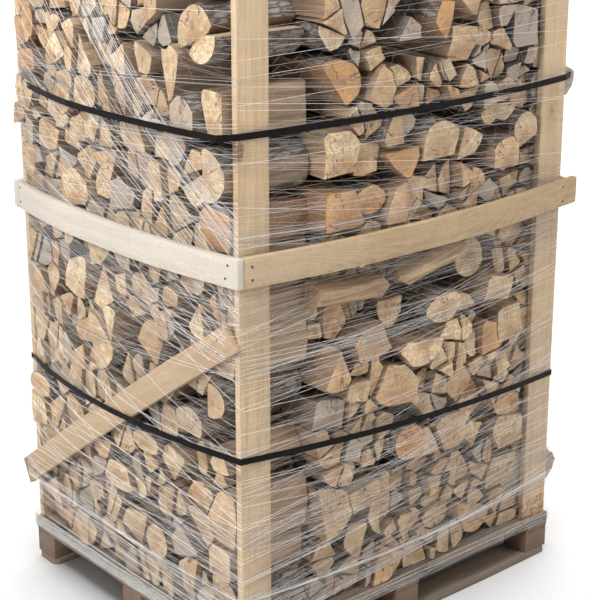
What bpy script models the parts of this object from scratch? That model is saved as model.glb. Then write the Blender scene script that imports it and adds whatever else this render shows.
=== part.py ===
"""Pallet crate of split firewood, standing on its pallet.

Sizes are in metres and +Z is up. The origin is on the floor, under the middle
of the crate. The stack of logs that lie along X has its sawn ends on the -X
side; the logs behind it lie along Y, in four rows from the -Y side to the
+Y side.
"""

import math
import random

import bmesh
import bpy
from mathutils import Matrix, Vector, geometry

# Pallet
PALLET_X = 1.2
PALLET_Y = 1.0
SKID_WIDTH = 0.095
SKID_THICK = 0.020
SKID_CHAMFER = 0.014
BLOCK = 0.090
BLOCK_HEIGHT = 0.072
STRINGER_THICK = 0.021
DECK_THICK = 0.021
DECK_BOARDS = 7
DECK_BOARD_WIDTH = 0.108

# Crate frame
CRATE_TOP = 2.0
POST_WIDTH = 0.097
POST_THICK = 0.020
POST_INSET = 0.008
RAIL_HEIGHT = 0.077
RAIL_THICK = 0.020
MID_RAIL_Z = 1.150
TOP_RAIL_Z = 1.950
FRONT_BOW = 0.055
SIDE_BOW = 0.045
TOP_BOW = 0.010
FRONT_RAIL_OVERHANG = 0.050

# Brace board on the -X side, along its centre line from rear to front
BRACE_REAR = (0.485, 0.297)
BRACE_FRONT = (-0.478, 0.982)
BRACE_WIDTH = 0.074
BRACE_THICK = 0.020
BRACE_BOW = 0.026
BRACE_FRONT_OUT = 0.0206
BRACE_REAR_OUT = 0.045

# Straps
STRAP_WIDTH = 0.017
STRAP_THICK = 0.0014
UPPER_STRAP_Z = 1.481
LOWER_STRAP_Z = 0.655
LOWER_STRAP_DROP = 0.064

# Gathered hem of the net, drawn tight round the edge of the pallet's deck
HEM_LOW = 0.104
HEM_HIGH = 0.146
HEM_THICK = 0.005

# Logs: length, top of the stacks, and the mean width and height of their ends
LOG_LENGTH = 0.27
STACK_TOP = 1.80
LEFT_LOG = (0.114, 0.084)
FRONT_LOG = (0.118, 0.098)
BACK_LOG = (0.115, 0.100)
END_SCATTER = 0.020
LEAST_STEP = 0.002
END_OUT = 0.030
GROOVE = 0.012
SHORTEST_EDGE = 0.014
COURSE_SHIFT = 0.10
SIDE_SCATTER = 0.26
RISE_SCATTER = 0.27
EDGE_SHARE = 0.28
MIRROR_REACH = 0.26

# Turn of the bark side of each kind of log, and the points along it
LOG_ARCS = {
    "round": (2 * math.pi, 9),
    "half": (math.pi, 7),
    "quarter": (math.pi / 2, 5),
    "wedge": (0.95, 4),
}

# Middles of the larger logs' ends: (y, z) on the -X side, (x, z) on the -Y side
LEFT_LARGE = (
    (-0.272, 1.605), (-0.415, 1.640), (-0.345, 1.520), (-0.430, 1.545), (-0.335, 1.725),
    (0.217, 1.597), (-0.072, 1.615), (0.370, 1.540), (-0.415, 1.250), (0.163, 1.245),
    (0.197, 1.000), (0.040, 0.980), (0.067, 0.820), (-0.152, 0.882), (-0.335, 0.990),
    (0.400, 0.600), (0.233, 0.554), (-0.305, 0.720), (-0.420, 0.795), (-0.228, 0.553),
    (-0.415, 0.640), (0.014, 0.447), (-0.011, 0.298), (-0.165, 0.317), (-0.405, 0.465),
)
FRONT_LARGE = (
    (-0.262, 1.583), (-0.085, 1.665), (0.045, 1.655), (0.150, 1.625), (0.410, 1.637),
    (-0.270, 1.394), (-0.105, 1.347), (0.045, 1.400), (0.190, 1.352), (0.309, 1.326),
    (-0.285, 1.240), (0.230, 1.022), (0.323, 0.919), (0.067, 0.916), (-0.064, 0.930),
    (0.000, 0.828), (-0.091, 0.735), (-0.290, 0.839), (-0.199, 0.880), (0.390, 0.799),
    (-0.035, 0.558), (0.139, 0.538), (0.400, 0.450), (0.400, 0.350), (-0.285, 0.408),
    (-0.180, 0.427), (-0.218, 0.291), (0.291, 0.185),
)
LARGE_REACH = 0.084

# Two logs that lie across the -Y side: middle, length, depth, height and tilt
ACROSS_LOGS = {
    "left": ((-0.236, 1.030), 0.268, 0.064, 0.066, -0.085),
    "right": ((0.036, 1.046), 0.250, 0.068, 0.062, 0.245),
}
ACROSS_BEHIND = 0.018
ACROSS_MARGIN = 0.014

# Worked out from the sizes above
GAP = 0.0003
DECK_Z = SKID_THICK + BLOCK_HEIGHT + STRINGER_THICK + DECK_THICK
POST_X = PALLET_X / 2 - POST_INSET
POST_Y = PALLET_Y / 2 - POST_INSET
INSIDE_X = POST_X - GAP
INSIDE_Y = POST_Y - POST_THICK - GAP
SPLIT_X = -POST_X - END_OUT + LOG_LENGTH
ROW_BACK = POST_Y + END_OUT - LOG_LENGTH
BRACE_SLOPE = math.atan2(BRACE_REAR[1] - BRACE_FRONT[1], BRACE_REAR[0] - BRACE_FRONT[0])

# How far the sides of the load swell past the posts, by height
SWELL_HEIGHTS = (0.13, 0.65, 1.15, 1.48, 1.80)
LEFT_SWELL = (0.004, 0.046, 0.050, 0.052, 0.044)
LEFT_CORNER_SWELL = (0.0, 0.002, 0.006, 0.032, 0.024)
FRONT_SWELL = (0.004, 0.038, 0.052, 0.044, 0.034)
RIGHT_SWELL = (0.000, 0.044, 0.022, 0.066, 0.040)
FREE_SWELL = 0.085
CLEARANCE = 0.0012
TOUCH_MARGIN = 0.006


def clear_scene():
    for thing in list(bpy.data.objects):
        bpy.data.objects.remove(thing, do_unlink=True)


def make_material(name, colour, roughness):
    material = bpy.data.materials.new(name)
    material.use_nodes = True
    shader = material.node_tree.nodes["Principled BSDF"]
    shader.inputs["Base Color"].default_value = (*colour, 1.0)
    shader.inputs["Roughness"].default_value = roughness
    shader.inputs["Metallic"].default_value = 0.0
    return material


def add_object(name, bm, material):
    bm.normal_update()
    bmesh.ops.recalc_face_normals(bm, faces=bm.faces)
    mesh = bpy.data.meshes.new(name)
    bm.to_mesh(mesh)
    bm.free()
    mesh.materials.append(material)
    thing = bpy.data.objects.new(name, mesh)
    bpy.context.scene.collection.objects.link(thing)
    return thing


def interpolate(value, places, amounts):
    if value <= places[0]:
        return amounts[0]
    for low, high, start, end in zip(places, places[1:], amounts, amounts[1:]):
        if value <= high:
            share = (value - low) / (high - low)
            return start + (end - start) * share
    return amounts[-1]


def box_mesh(size):
    bm = bmesh.new()
    bmesh.ops.create_cube(bm, size=1.0)
    bmesh.ops.scale(bm, vec=size, verts=bm.verts)
    return bm


def add_board(name, low, high, material):
    size = [b - a for a, b in zip(low, high)]
    board = add_object(name, box_mesh(size), material)
    board.location = [(a + b) / 2 for a, b in zip(low, high)]
    return board


def add_skid(name, y, material):
    """A bottom board with its four corners sawn off in plan."""
    bm = box_mesh((PALLET_X, SKID_WIDTH, SKID_THICK))
    uprights = [e for e in bm.edges if abs(e.verts[0].co.z - e.verts[1].co.z) > 0.001]
    bmesh.ops.bevel(bm, geom=uprights, offset=SKID_CHAMFER, segments=1, affect="EDGES")
    skid = add_object(name, bm, material)
    skid.location = (0, y, SKID_THICK / 2)
    return skid


def build_pallet(grey_wood, block_wood):
    across = (-PALLET_Y / 2 + SKID_WIDTH / 2, 0.0, PALLET_Y / 2 - SKID_WIDTH / 2)
    along = (-PALLET_X / 2 + BLOCK / 2, 0.0, PALLET_X / 2 - BLOCK / 2)
    sides = ("front", "middle", "back")
    ends = ("left", "centre", "right")
    for side, y in zip(sides, across):
        add_skid(f"skid_{side}", y, grey_wood)
        for end, x in zip(ends, along):
            low = (x - BLOCK / 2, y - BLOCK / 2, SKID_THICK + GAP)
            high = (x + BLOCK / 2, y + BLOCK / 2, SKID_THICK + BLOCK_HEIGHT)
            add_board(f"block_{side}_{end}", low, high, block_wood)
    bottom = SKID_THICK + BLOCK_HEIGHT + GAP
    top = SKID_THICK + BLOCK_HEIGHT + STRINGER_THICK
    for end, x in zip(ends, along):
        low = (x - BLOCK / 2, -PALLET_Y / 2, bottom)
        high = (x + BLOCK / 2, PALLET_Y / 2, top)
        add_board(f"stringer_{end}", low, high, grey_wood)
    step = (PALLET_Y - DECK_BOARD_WIDTH) / (DECK_BOARDS - 1)
    for number in range(DECK_BOARDS):
        y = -PALLET_Y / 2 + number * step
        low = (-PALLET_X / 2, y, top + GAP)
        high = (PALLET_X / 2, y + DECK_BOARD_WIDTH, DECK_Z)
        add_board(f"deck_board_{number + 1}", low, high, grey_wood)


def build_posts(wood):
    for side, y_side in (("front", -1), ("back", 1)):
        for end, x_side in (("left", -1), ("right", 1)):
            xs = sorted((x_side * POST_X, x_side * (POST_X - POST_WIDTH)))
            ys = sorted((y_side * POST_Y, y_side * (POST_Y - POST_THICK)))
            low = (xs[0], ys[0], DECK_Z + GAP)
            high = (xs[1], ys[1], CRATE_TOP)
            add_board(f"post_{side}_{end}", low, high, wood)


def pull_out(bm, outline, along):
    """A closed solid: an outline's face, drawn out along a direction."""
    face = bm.faces.new([bm.verts.new(point) for point in outline])
    pulled = bmesh.ops.extrude_face_region(bm, geom=[face])["geom"]
    verts = [item for item in pulled if isinstance(item, bmesh.types.BMVert)]
    bmesh.ops.translate(bm, vec=along, verts=verts)


def bow_at(place, half_span, bow):
    return bow * max(0.0, 1.0 - (place / half_span) ** 2)


def add_rail(name, along_x, side, start, end, z, bow, wood):
    """A rail nailed to the outside of two posts, pushed out by the load."""
    length = end - start
    half_span = POST_X if along_x else POST_Y
    face = (POST_Y if along_x else POST_X) + GAP
    bm = box_mesh((length, RAIL_THICK, RAIL_HEIGHT))
    pieces = 10
    for cut in range(1, pieces):
        where = Vector((-length / 2 + length * cut / pieces, 0, 0))
        everything = bm.verts[:] + bm.edges[:] + bm.faces[:]
        bmesh.ops.bisect_plane(bm, geom=everything, plane_co=where, plane_no=(1, 0, 0))
    for vert in bm.verts:
        place = vert.co.x + (start + end) / 2
        vert.co.y += face + RAIL_THICK / 2 + bow_at(place, half_span, bow)
        vert.co.x = place
        vert.co.z += z
        if along_x:
            vert.co.y *= side
        else:
            vert.co.x, vert.co.y = side * vert.co.y, vert.co.x
    return add_object(name, bm, wood)


def build_rails(wood):
    outer_x = POST_X + RAIL_THICK + GAP
    outer_y = POST_Y + RAIL_THICK + GAP
    for level, z, bows in (
        ("middle", MID_RAIL_Z, (FRONT_BOW, SIDE_BOW)),
        ("top", TOP_RAIL_Z, (TOP_BOW, TOP_BOW)),
    ):
        front, side = bows
        add_rail(f"rail_{level}_left", False, -1, -outer_y, POST_Y, z, side, wood)
        add_rail(
            f"rail_{level}_front", True, -1, -POST_X, POST_X + FRONT_RAIL_OVERHANG,
            z, front, wood,
        )
        add_rail(f"rail_{level}_right", False, 1, -POST_Y, outer_y, z, side, wood)
        add_rail(f"rail_{level}_back", True, 1, -outer_x, POST_X, z, front, wood)


def brace_offset(y):
    """Distance of the brace's inner face past the posts' outer edge at y."""
    share = (y - BRACE_FRONT[0]) / (BRACE_REAR[0] - BRACE_FRONT[0])
    share = min(1.0, max(0.0, share))
    line = BRACE_FRONT_OUT + (BRACE_REAR_OUT - BRACE_FRONT_OUT) * share
    return line + BRACE_BOW * 4 * share * (1 - share) - BRACE_THICK


def build_brace(wood):
    rear = Vector((0, *BRACE_REAR))
    front = Vector((0, *BRACE_FRONT))
    length = (front - rear).length
    bm = box_mesh((BRACE_THICK, length, BRACE_WIDTH))
    pieces = 10
    for cut in range(1, pieces):
        where = Vector((0, -length / 2 + length * cut / pieces, 0))
        everything = bm.verts[:] + bm.edges[:] + bm.faces[:]
        bmesh.ops.bisect_plane(bm, geom=everything, plane_co=where, plane_no=(0, 1, 0))
    bmesh.ops.rotate(bm, matrix=Matrix.Rotation(BRACE_SLOPE, 3, "X"), verts=bm.verts)
    bmesh.ops.translate(bm, vec=(rear + front) / 2, verts=bm.verts)
    for vert in bm.verts:
        vert.co.x -= POST_X + brace_offset(vert.co.y) + BRACE_THICK / 2
    return add_object("brace", bm, wood)


def strap_path(swells, corner_out):
    """Points of a taut strap in plan, from the front left post round the load."""
    x = POST_X + 0.001
    y = POST_Y + 0.001
    front, side = swells
    steps = 9
    path = []
    for step in range(steps):
        share = step / (steps - 1)
        place = -x + 2 * x * share
        path.append((place, -y - bow_at(place, x, front)))
    for step in range(steps):
        share = step / (steps - 1)
        place = INSIDE_Y * (2 * share - 1)
        out = corner_out + bow_at(place, INSIDE_Y, side - corner_out)
        path.append((x + out, place))
    for step in range(steps):
        share = step / (steps - 1)
        place = x - 2 * x * share
        path.append((place, y + bow_at(place, x, front)))
    for step in range(steps):
        share = step / (steps - 1)
        place = INSIDE_Y * (1 - 2 * share)
        out = corner_out + bow_at(place, INSIDE_Y, side - corner_out)
        path.append((-x - out, place))
    return path


def strap_height(level, x):
    if level == "upper":
        return UPPER_STRAP_Z
    share = (x + POST_X) / (2 * POST_X)
    return LOWER_STRAP_Z - LOWER_STRAP_DROP * share


STRAP_SHAPES = {
    "upper": ((0.0455, 0.0840), 0.045),
    "lower": ((0.0420, 0.0620), 0.004),
}


def add_band(name, path, width, thick, material):
    """A closed flat band whose inner middle line runs through the path's points."""
    bm = bmesh.new()
    rings = []
    for before, here, after in zip(path[-1:] + path[:-1], path, path[1:] + path[:1]):
        arriving = (here - before).normalized()
        turn = (arriving + (after - here).normalized()).normalized()
        out = Vector((turn.y, -turn.x, 0)) / max(0.5, turn.dot(arriving))
        section = ((0, -0.5), (1, -0.5), (1, 0.5), (0, 0.5))
        rise = Vector((0, 0, width))
        ring = [bm.verts.new(here + out * thick * far + rise * up) for far, up in section]
        rings.append(ring)
    for ring, following in zip(rings, rings[1:] + rings[:1]):
        for corner in range(4):
            beside = (corner + 1) % 4
            bm.faces.new((ring[corner], ring[beside], following[beside], following[corner]))
    return add_object(name, bm, material)


def build_strap(level, plastic):
    path = [
        Vector((x, y, strap_height(level, x)))
        for x, y in strap_path(*STRAP_SHAPES[level])
    ]
    return add_band(f"strap_{level}", path, STRAP_WIDTH, STRAP_THICK, plastic)


def build_net_hem(net):
    """The net's lower edge, pulled together into a band round the deck."""
    x = PALLET_X / 2 + GAP
    y = PALLET_Y / 2 + GAP
    z = (HEM_LOW + HEM_HIGH) / 2
    path = [Vector((a * x, b * y, z)) for a, b in ((-1, -1), (1, -1), (1, 1), (-1, 1))]
    add_band("net_hem", path, HEM_HIGH - HEM_LOW, HEM_THICK, net)


def strap_limit(level, place, along_x):
    """How far the load may swell under a strap at a place along one side."""
    (front, side), corner_out = STRAP_SHAPES[level]
    if along_x:
        return 0.001 + bow_at(place, POST_X + 0.001, front)
    return 0.001 + corner_out + bow_at(place, INSIDE_Y, side - corner_out)


def lies_across(place, z):
    """Whether a log lies across the -Y side in front of this spot."""
    for (x, height), length, _, high, tilt in ACROSS_LOGS.values():
        along = (place - x) * math.cos(tilt) + (z - height) * math.sin(tilt)
        up = (z - height) * math.cos(tilt) - (place - x) * math.sin(tilt)
        if abs(along) < length / 2 + ACROSS_MARGIN and abs(up) < high / 2 + ACROSS_MARGIN:
            return True
    return False


def swell_limit(place, z, along_x, side):
    """The most that a log may stand out past the posts' outer faces."""
    limit = FREE_SWELL
    if along_x and abs(place) > POST_X - POST_WIDTH - TOUCH_MARGIN:
        limit = -POST_THICK
    if along_x and side < 0 and lies_across(place, z):
        limit = -ACROSS_BEHIND
    if z < HEM_HIGH + TOUCH_MARGIN:
        limit = min(limit, POST_INSET)
    if abs(z - MID_RAIL_Z) < RAIL_HEIGHT / 2 + TOUCH_MARGIN:
        span, bow = (POST_X, FRONT_BOW) if along_x else (POST_Y, SIDE_BOW)
        limit = min(limit, bow_at(place, span, bow))
    for level in ("upper", "lower"):
        x = place if along_x else side * POST_X
        if abs(z - strap_height(level, x)) < STRAP_WIDTH / 2 + TOUCH_MARGIN:
            limit = min(limit, strap_limit(level, place, along_x))
    if not along_x and side < 0:
        middle = BRACE_FRONT[1] + (place - BRACE_FRONT[0]) * math.tan(BRACE_SLOPE)
        half_rise = BRACE_WIDTH / 2 / math.cos(BRACE_SLOPE)
        if abs(z - middle) < half_rise + TOUCH_MARGIN:
            limit = min(limit, brace_offset(place))
    return limit - CLEARANCE


def log_seeds(rng, low, high, log_size, large=()):
    """Centres of the logs' ends, in loose courses as they were stacked.

    The larger logs have their own places, and keep the others away.
    """
    width = high[0] - low[0]
    height = high[1] - low[1]
    courses = round(height / log_size[1])
    step = height / courses
    kept = [Vector(spot) for spot in large]
    seeds = list(kept)
    for course in range(courses):
        count = round(width / log_size[0]) + rng.choice((-1, 0, 0, 1))
        pitch = width / count
        shift = rng.uniform(-COURSE_SHIFT, COURSE_SHIFT)
        for place in range(count):
            across = place + 0.5 + shift + rng.uniform(-SIDE_SCATTER, SIDE_SCATTER)
            up = course + 0.5 + rng.uniform(-RISE_SCATTER, RISE_SCATTER)
            inside = EDGE_SHARE * pitch
            u = min(high[0] - inside, max(low[0] + inside, low[0] + pitch * across))
            seed = Vector((u, low[1] + step * up))
            if all((seed - spot).length > LARGE_REACH for spot in kept):
                seeds.append(seed)
    return seeds


def log_outlines(seeds, low, high):
    """The cell of each seed, with the corner points that its neighbours share.

    Seeds near an edge are mirrored over it, so the cells end on the edge. It
    returns the corner points, the sides that each lies on, and for each cell
    its corners in order with the neighbour across the edge that follows.
    """
    points = list(seeds)
    mirror_side = [None] * len(seeds)
    reach = MIRROR_REACH
    for axis in (0, 1):
        for which, edge in ((0, low[axis]), (1, high[axis])):
            for seed in seeds:
                if abs(seed[axis] - edge) < reach:
                    ghost = seed.copy()
                    ghost[axis] = 2 * edge - seed[axis]
                    points.append(ghost)
                    mirror_side.append((axis, which))
    count = len(seeds)
    spots = {}
    owners = []
    corners = []
    for triangle in geometry.delaunay_2d_cdt(points, [], [], 0, 1e-7)[2]:
        if min(triangle) >= count:
            continue
        a, b, c = (points[index] for index in triangle)
        toward_b, toward_c = b - a, c - a
        turned = toward_b.length_squared * toward_c - toward_c.length_squared * toward_b
        centre = a + Vector((turned.y, -turned.x)) / (2 * toward_b.cross(toward_c))
        key = (round(centre.x, 5), round(centre.y, 5))
        if key not in spots:
            spots[key] = len(corners)
            corners.append(centre)
            owners.append(set())
        owners[spots[key]].update(triangle)
    sides = [{mirror_side[index] for index in owner} - {None} for owner in owners]
    cells = []
    for index, seed in enumerate(seeds):
        numbers = [n for n, owner in enumerate(owners) if index in owner]
        numbers.sort(key=lambda n: math.atan2(*(corners[n] - seed).yx))
        cell = []
        for here, after in zip(numbers, numbers[1:] + numbers[:1]):
            across = min(owners[here] & owners[after] - {index})
            cell.append((here, across if across < count else None))
        cells.append(cell)
    spread_corners(corners, sides, cells, seeds, low, high)
    return corners, sides, cells


def spread_corners(corners, sides, cells, seeds, low, high):
    """Moves corners apart where two logs would meet on a sliver of an edge."""
    for _ in range(4):
        for index, cell in enumerate(cells):
            for (here, across), (after, _) in zip(cell, cell[1:] + cell[:1]):
                if across is not None and across < index:
                    continue
                gap = corners[after] - corners[here]
                if across is None:
                    direction = Vector((0, 0))
                    axis = min(sides[here] & sides[after])[0]
                    direction[1 - axis] = math.copysign(1, gap[1 - axis])
                else:
                    between = (seeds[across] - seeds[index]).normalized()
                    direction = Vector((-between.y, between.x))
                missing = SHORTEST_EDGE - gap.dot(direction)
                if missing > 0:
                    corners[here] -= direction * missing / 2
                    corners[after] += direction * missing / 2
        for corner, on in zip(corners, sides):
            for axis, which in on:
                corner[axis] = (low, high)[which][axis]


def relief_solid(name, low, high, seeds, outs, back, edge_move, place, material):
    """One closed solid of a stack: each log's end at its own depth.

    outs gives each log's depth and back the depth of the flat hidden side.
    edge_move shifts an outline point; place turns (u, v, depth) to metres.
    """
    corners, sides, cells = log_outlines(seeds, low, high)
    depth = dict(enumerate(outs))
    depth[None] = back
    meeting = [set() for _ in corners]
    for index, cell in enumerate(cells):
        for corner, across in cell:
            meeting[corner].add(index)
    bm = bmesh.new()
    made = {}
    spots = [edge_move(corner, on, False) for corner, on in zip(corners, sides)]

    def vert(corner, owner):
        key = (corner, owner)
        if key not in made:
            made[key] = bm.verts.new(place(*spots[corner], depth[owner]))
        return made[key]

    def steps(corner, one, other):
        """The depths met at a corner going from one log's end to another's."""
        lowest, highest = sorted((depth[one], depth[other]))
        between = [n for n in meeting[corner] if lowest < depth[n] < highest]
        chain = [one, *sorted(between, key=lambda n: depth[n]), other]
        if depth[one] > depth[other]:
            chain = [one, *sorted(between, key=lambda n: -depth[n]), other]
        return [vert(corner, owner) for owner in chain]

    outline = {}
    for index, cell in enumerate(cells):
        ring = []
        for (here, across), (after, _) in zip(cell, cell[1:] + cell[:1]):
            ring.append(vert(here, index))
            if across is None:
                on = sides[here] & sides[after]
                middle = len(spots)
                halfway = (corners[here] + corners[after]) / 2
                spots.append(edge_move(halfway, on, True))
                meeting.append({index})
                ring.append(vert(middle, index))
                for one, two in ((here, middle), (middle, after)):
                    down = steps(one, index, None)
                    up = steps(two, None, index)
                    bm.faces.new(down + up)
                    outline[one] = two
            elif index < across:
                bm.faces.new(steps(here, index, across) + steps(after, across, index))
        bm.faces.new(ring)
    start = next(iter(outline))
    loop = [start]
    while outline[loop[-1]] != start:
        loop.append(outline[loop[-1]])
    bm.faces.new([vert(corner, None) for corner in loop])
    return add_object(name, bm, material)


def end_depths(rng, seeds, low, high, along_x, side):
    """How far out each log's sawn end is, within what the frame leaves it."""
    peak, corner = (FRONT_SWELL, None) if along_x else (LEFT_SWELL, LEFT_CORNER_SWELL)
    half_span = POST_X if along_x else INSIDE_Y
    corners, _, cells = log_outlines(seeds, low, high)
    face = POST_Y if along_x else POST_X
    outs = []
    for index, (seed, cell) in enumerate(zip(seeds, cells)):
        rim = [corners[number] for number, _ in cell]
        most = min(
            swell_limit(*seed.lerp(a.lerp(b, along / 6), out / 4), along_x, side)
            for a, b in zip(rim, rim[1:] + rim[:1])
            for along in range(6)
            for out in range(5)
        )
        edge = interpolate(seed.y, SWELL_HEIGHTS, corner) if corner else 0.0
        swell = interpolate(seed.y, SWELL_HEIGHTS, peak)
        out = edge + bow_at(seed.x, half_span, swell - edge)
        out += rng.uniform(-END_SCATTER, END_SCATTER * 0.5)
        out = face + min(out, most)
        beside = [outs[other] for _, other in cell if other is not None and other < index]
        while any(abs(out - other) < LEAST_STEP for other in beside):
            out -= LEAST_STEP
        outs.append(out)
    return outs


def build_left_stack(wood):
    """Logs along X: sawn ends on the -X side, split sides at the front."""
    rng = random.Random(41)
    low = (-INSIDE_Y, DECK_Z + GAP)
    high = (INSIDE_Y, STACK_TOP)
    seeds = log_seeds(rng, low, high, LEFT_LOG, LEFT_LARGE)
    outs = end_depths(rng, seeds, low, high, False, -1)

    def edge_move(point, on, peak):
        spot = point.copy()
        for axis, which in on:
            if (axis, which) != (1, 0) and not peak and len(on) == 1:
                spot[axis] += GROOVE if which == 0 else -GROOVE
        return spot

    relief_solid(
        "logs_left_stack", low, high, seeds, outs, -SPLIT_X, edge_move,
        lambda u, v, out: (-out, u, v), wood,
    )


def side_swell(z, share):
    return share * interpolate(z, SWELL_HEIGHTS, RIGHT_SWELL)


def row_edge_move(share):
    """Grooves between the logs on the +X side and the top of a row."""

    def edge_move(point, on, peak):
        spot = point.copy()
        if (0, 1) in on:
            spot.x += side_swell(spot.y, share)
        for axis, which in on:
            if which == 1 and not peak and len(on) == 1:
                spot[axis] -= GROOVE
        return spot

    return edge_move


def build_end_row(name, seed_number, side, log_size, large, wood):
    """A row of logs along Y with its sawn ends on the front or back."""
    rng = random.Random(seed_number)
    low = (SPLIT_X + GAP, DECK_Z + GAP)
    high = (INSIDE_X, STACK_TOP)
    seeds = log_seeds(rng, low, high, log_size, large)
    outs = end_depths(rng, seeds, low, high, True, side)
    relief_solid(
        name, low, high, seeds, outs, ROW_BACK, row_edge_move(0.0),
        lambda u, v, out: (u, side * out, v), wood,
    )


def build_inner_row(name, seed_number, start, end, wood):
    """A hidden row: only its +X side and its top show between the others."""
    rng = random.Random(seed_number)
    low = (SPLIT_X + GAP, DECK_Z + GAP)
    high = (INSIDE_X, STACK_TOP)
    move = row_edge_move(1.0)
    outline = [move(Vector(low), set(), True), move(Vector((high[0], low[1])), {(0, 1)}, True)]
    courses = round((high[1] - low[1]) / FRONT_LOG[1])
    for course in range(1, 2 * courses):
        z = low[1] + (high[1] - low[1]) * course / (2 * courses)
        z += rng.uniform(-GROOVE / 2, GROOVE / 2)
        outline.append(move(Vector((high[0], z)), {(0, 1)}, course % 2 == 1))
    outline.append(move(Vector(high), {(0, 1), (1, 1)}, True))
    columns = round((high[0] - low[0]) / FRONT_LOG[0])
    for column in range(2 * columns - 1, 0, -1):
        x = low[0] + (high[0] - low[0]) * column / (2 * columns)
        x += rng.uniform(-GROOVE / 2, GROOVE / 2)
        outline.append(move(Vector((x, high[1])), {(1, 1)}, column % 2 == 1))
    outline.append(Vector((low[0], high[1])))
    bm = bmesh.new()
    pull_out(bm, [(p.x, start, p.y) for p in outline], (0, end - start, 0))
    add_object(name, bm, wood)


def log_profile(kind, radius, rng):
    """Outline of a log's end: flat split faces and a round bark side."""
    turn, count = LOG_ARCS[kind]
    points = []
    for step in range(count):
        share = step / count if kind == "round" else step / (count - 1)
        angle = math.pi / 2 - turn / 2 + turn * share
        reach = radius * rng.uniform(0.94, 1.04)
        points.append(Vector((reach * math.cos(angle), reach * math.sin(angle))))
    if kind in ("quarter", "wedge"):
        points.append(Vector((rng.uniform(-0.1, 0.1) * radius, 0.0)))
    return points


def build_across_logs(wood):
    """The two logs that lie across the -Y side, under the middle rail."""
    rng = random.Random(12)
    for end, ((x, z), length, deep, high, tilt) in ACROSS_LOGS.items():
        profile = log_profile("half", 1.0, rng)
        widest = max(point.x for point in profile) - min(point.x for point in profile)
        tallest = max(point.y for point in profile)
        middle = (max(point.x for point in profile) + min(point.x for point in profile)) / 2
        outline = [
            (-length / 2, -point.y / tallest * deep, (point.x - middle) / widest * high)
            for point in profile
        ]
        bm = bmesh.new()
        pull_out(bm, outline, (length, 0, 0))
        log = add_object(f"across_log_{end}", bm, wood)
        log.location = (x, -POST_Y + ACROSS_BEHIND, z)
        log.rotation_euler.y = -tilt


def add_loose_log(name, kind, radius, length, roll, centre, heading, rng, wood):
    """A loose log lying on the load, turned by roll about its own length."""
    profile = log_profile(kind, radius, rng)
    for point in profile:
        point.rotate(Matrix.Rotation(roll, 2))
    floor = min(point.y for point in profile)
    middle = (min(p.x for p in profile) + max(p.x for p in profile)) / 2
    bm = bmesh.new()
    pull_out(bm, [(-length / 2, p.x - middle, p.y - floor) for p in profile], (length, 0, 0))
    log = add_object(name, bm, wood)
    log.location = (centre[0], centre[1], STACK_TOP + GAP)
    log.rotation_euler.z = heading
    return log


def loose_log_places():
    """Places of the loose logs of the last course: along X, then along Y."""
    left_x = -POST_X - END_OUT / 2 + LOG_LENGTH / 2
    places = [((left_x, -0.36 + 0.18 * number), 0.0) for number in range(5)]
    for row, y in enumerate((-0.387, -0.126, 0.126, 0.387)):
        shift = 0.12 * (row % 2)
        for number in range(3 - row % 2):
            places.append(((-0.21 + 0.25 * number + shift, y), math.pi / 2))
    return places


def build_loose_logs(wood):
    rng = random.Random(5)
    kinds = ("quarter", "half", "wedge", "round", "quarter", "half")
    rolls = {"round": 0.4, "half": 0.0, "quarter": math.pi / 4, "wedge": 0.48}
    radii = {"round": 0.046, "half": 0.056, "quarter": 0.078, "wedge": 0.084}
    for number, (centre, heading) in enumerate(loose_log_places()):
        kind = kinds[number % len(kinds)]
        radius = radii[kind] * rng.uniform(0.92, 1.04)
        turn = rng.uniform(-0.05, 0.05)
        add_loose_log(
            f"loose_log_{number + 1:02d}", kind, radius, LOG_LENGTH - 0.010,
            rolls[kind], centre, heading + turn, rng, wood,
        )


def main():
    clear_scene()
    grey_wood = make_material("pallet_wood", (0.30, 0.24, 0.20), 0.85)
    block_wood = make_material("block_wood", (0.34, 0.22, 0.15), 0.85)
    board_wood = make_material("board_wood", (0.72, 0.56, 0.38), 0.75)
    log_wood = make_material("log_wood", (0.62, 0.46, 0.30), 0.85)
    plastic = make_material("strap_plastic", (0.02, 0.02, 0.025), 0.45)
    net = make_material("net_yarn", (0.78, 0.78, 0.80), 0.6)
    build_pallet(grey_wood, block_wood)
    build_posts(board_wood)
    build_rails(board_wood)
    build_brace(board_wood)
    build_strap("upper", plastic)
    build_strap("lower", plastic)
    build_net_hem(net)
    build_left_stack(log_wood)
    build_end_row("logs_front_row", 23, -1, FRONT_LOG, FRONT_LARGE, log_wood)
    build_inner_row("logs_second_row", 57, -ROW_BACK + GAP, -GAP, log_wood)
    build_inner_row("logs_third_row", 58, GAP, ROW_BACK - GAP, log_wood)
    build_end_row("logs_back_row", 77, 1, BACK_LOG, (), log_wood)
    build_across_logs(log_wood)
    build_loose_logs(log_wood)


main()
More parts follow.
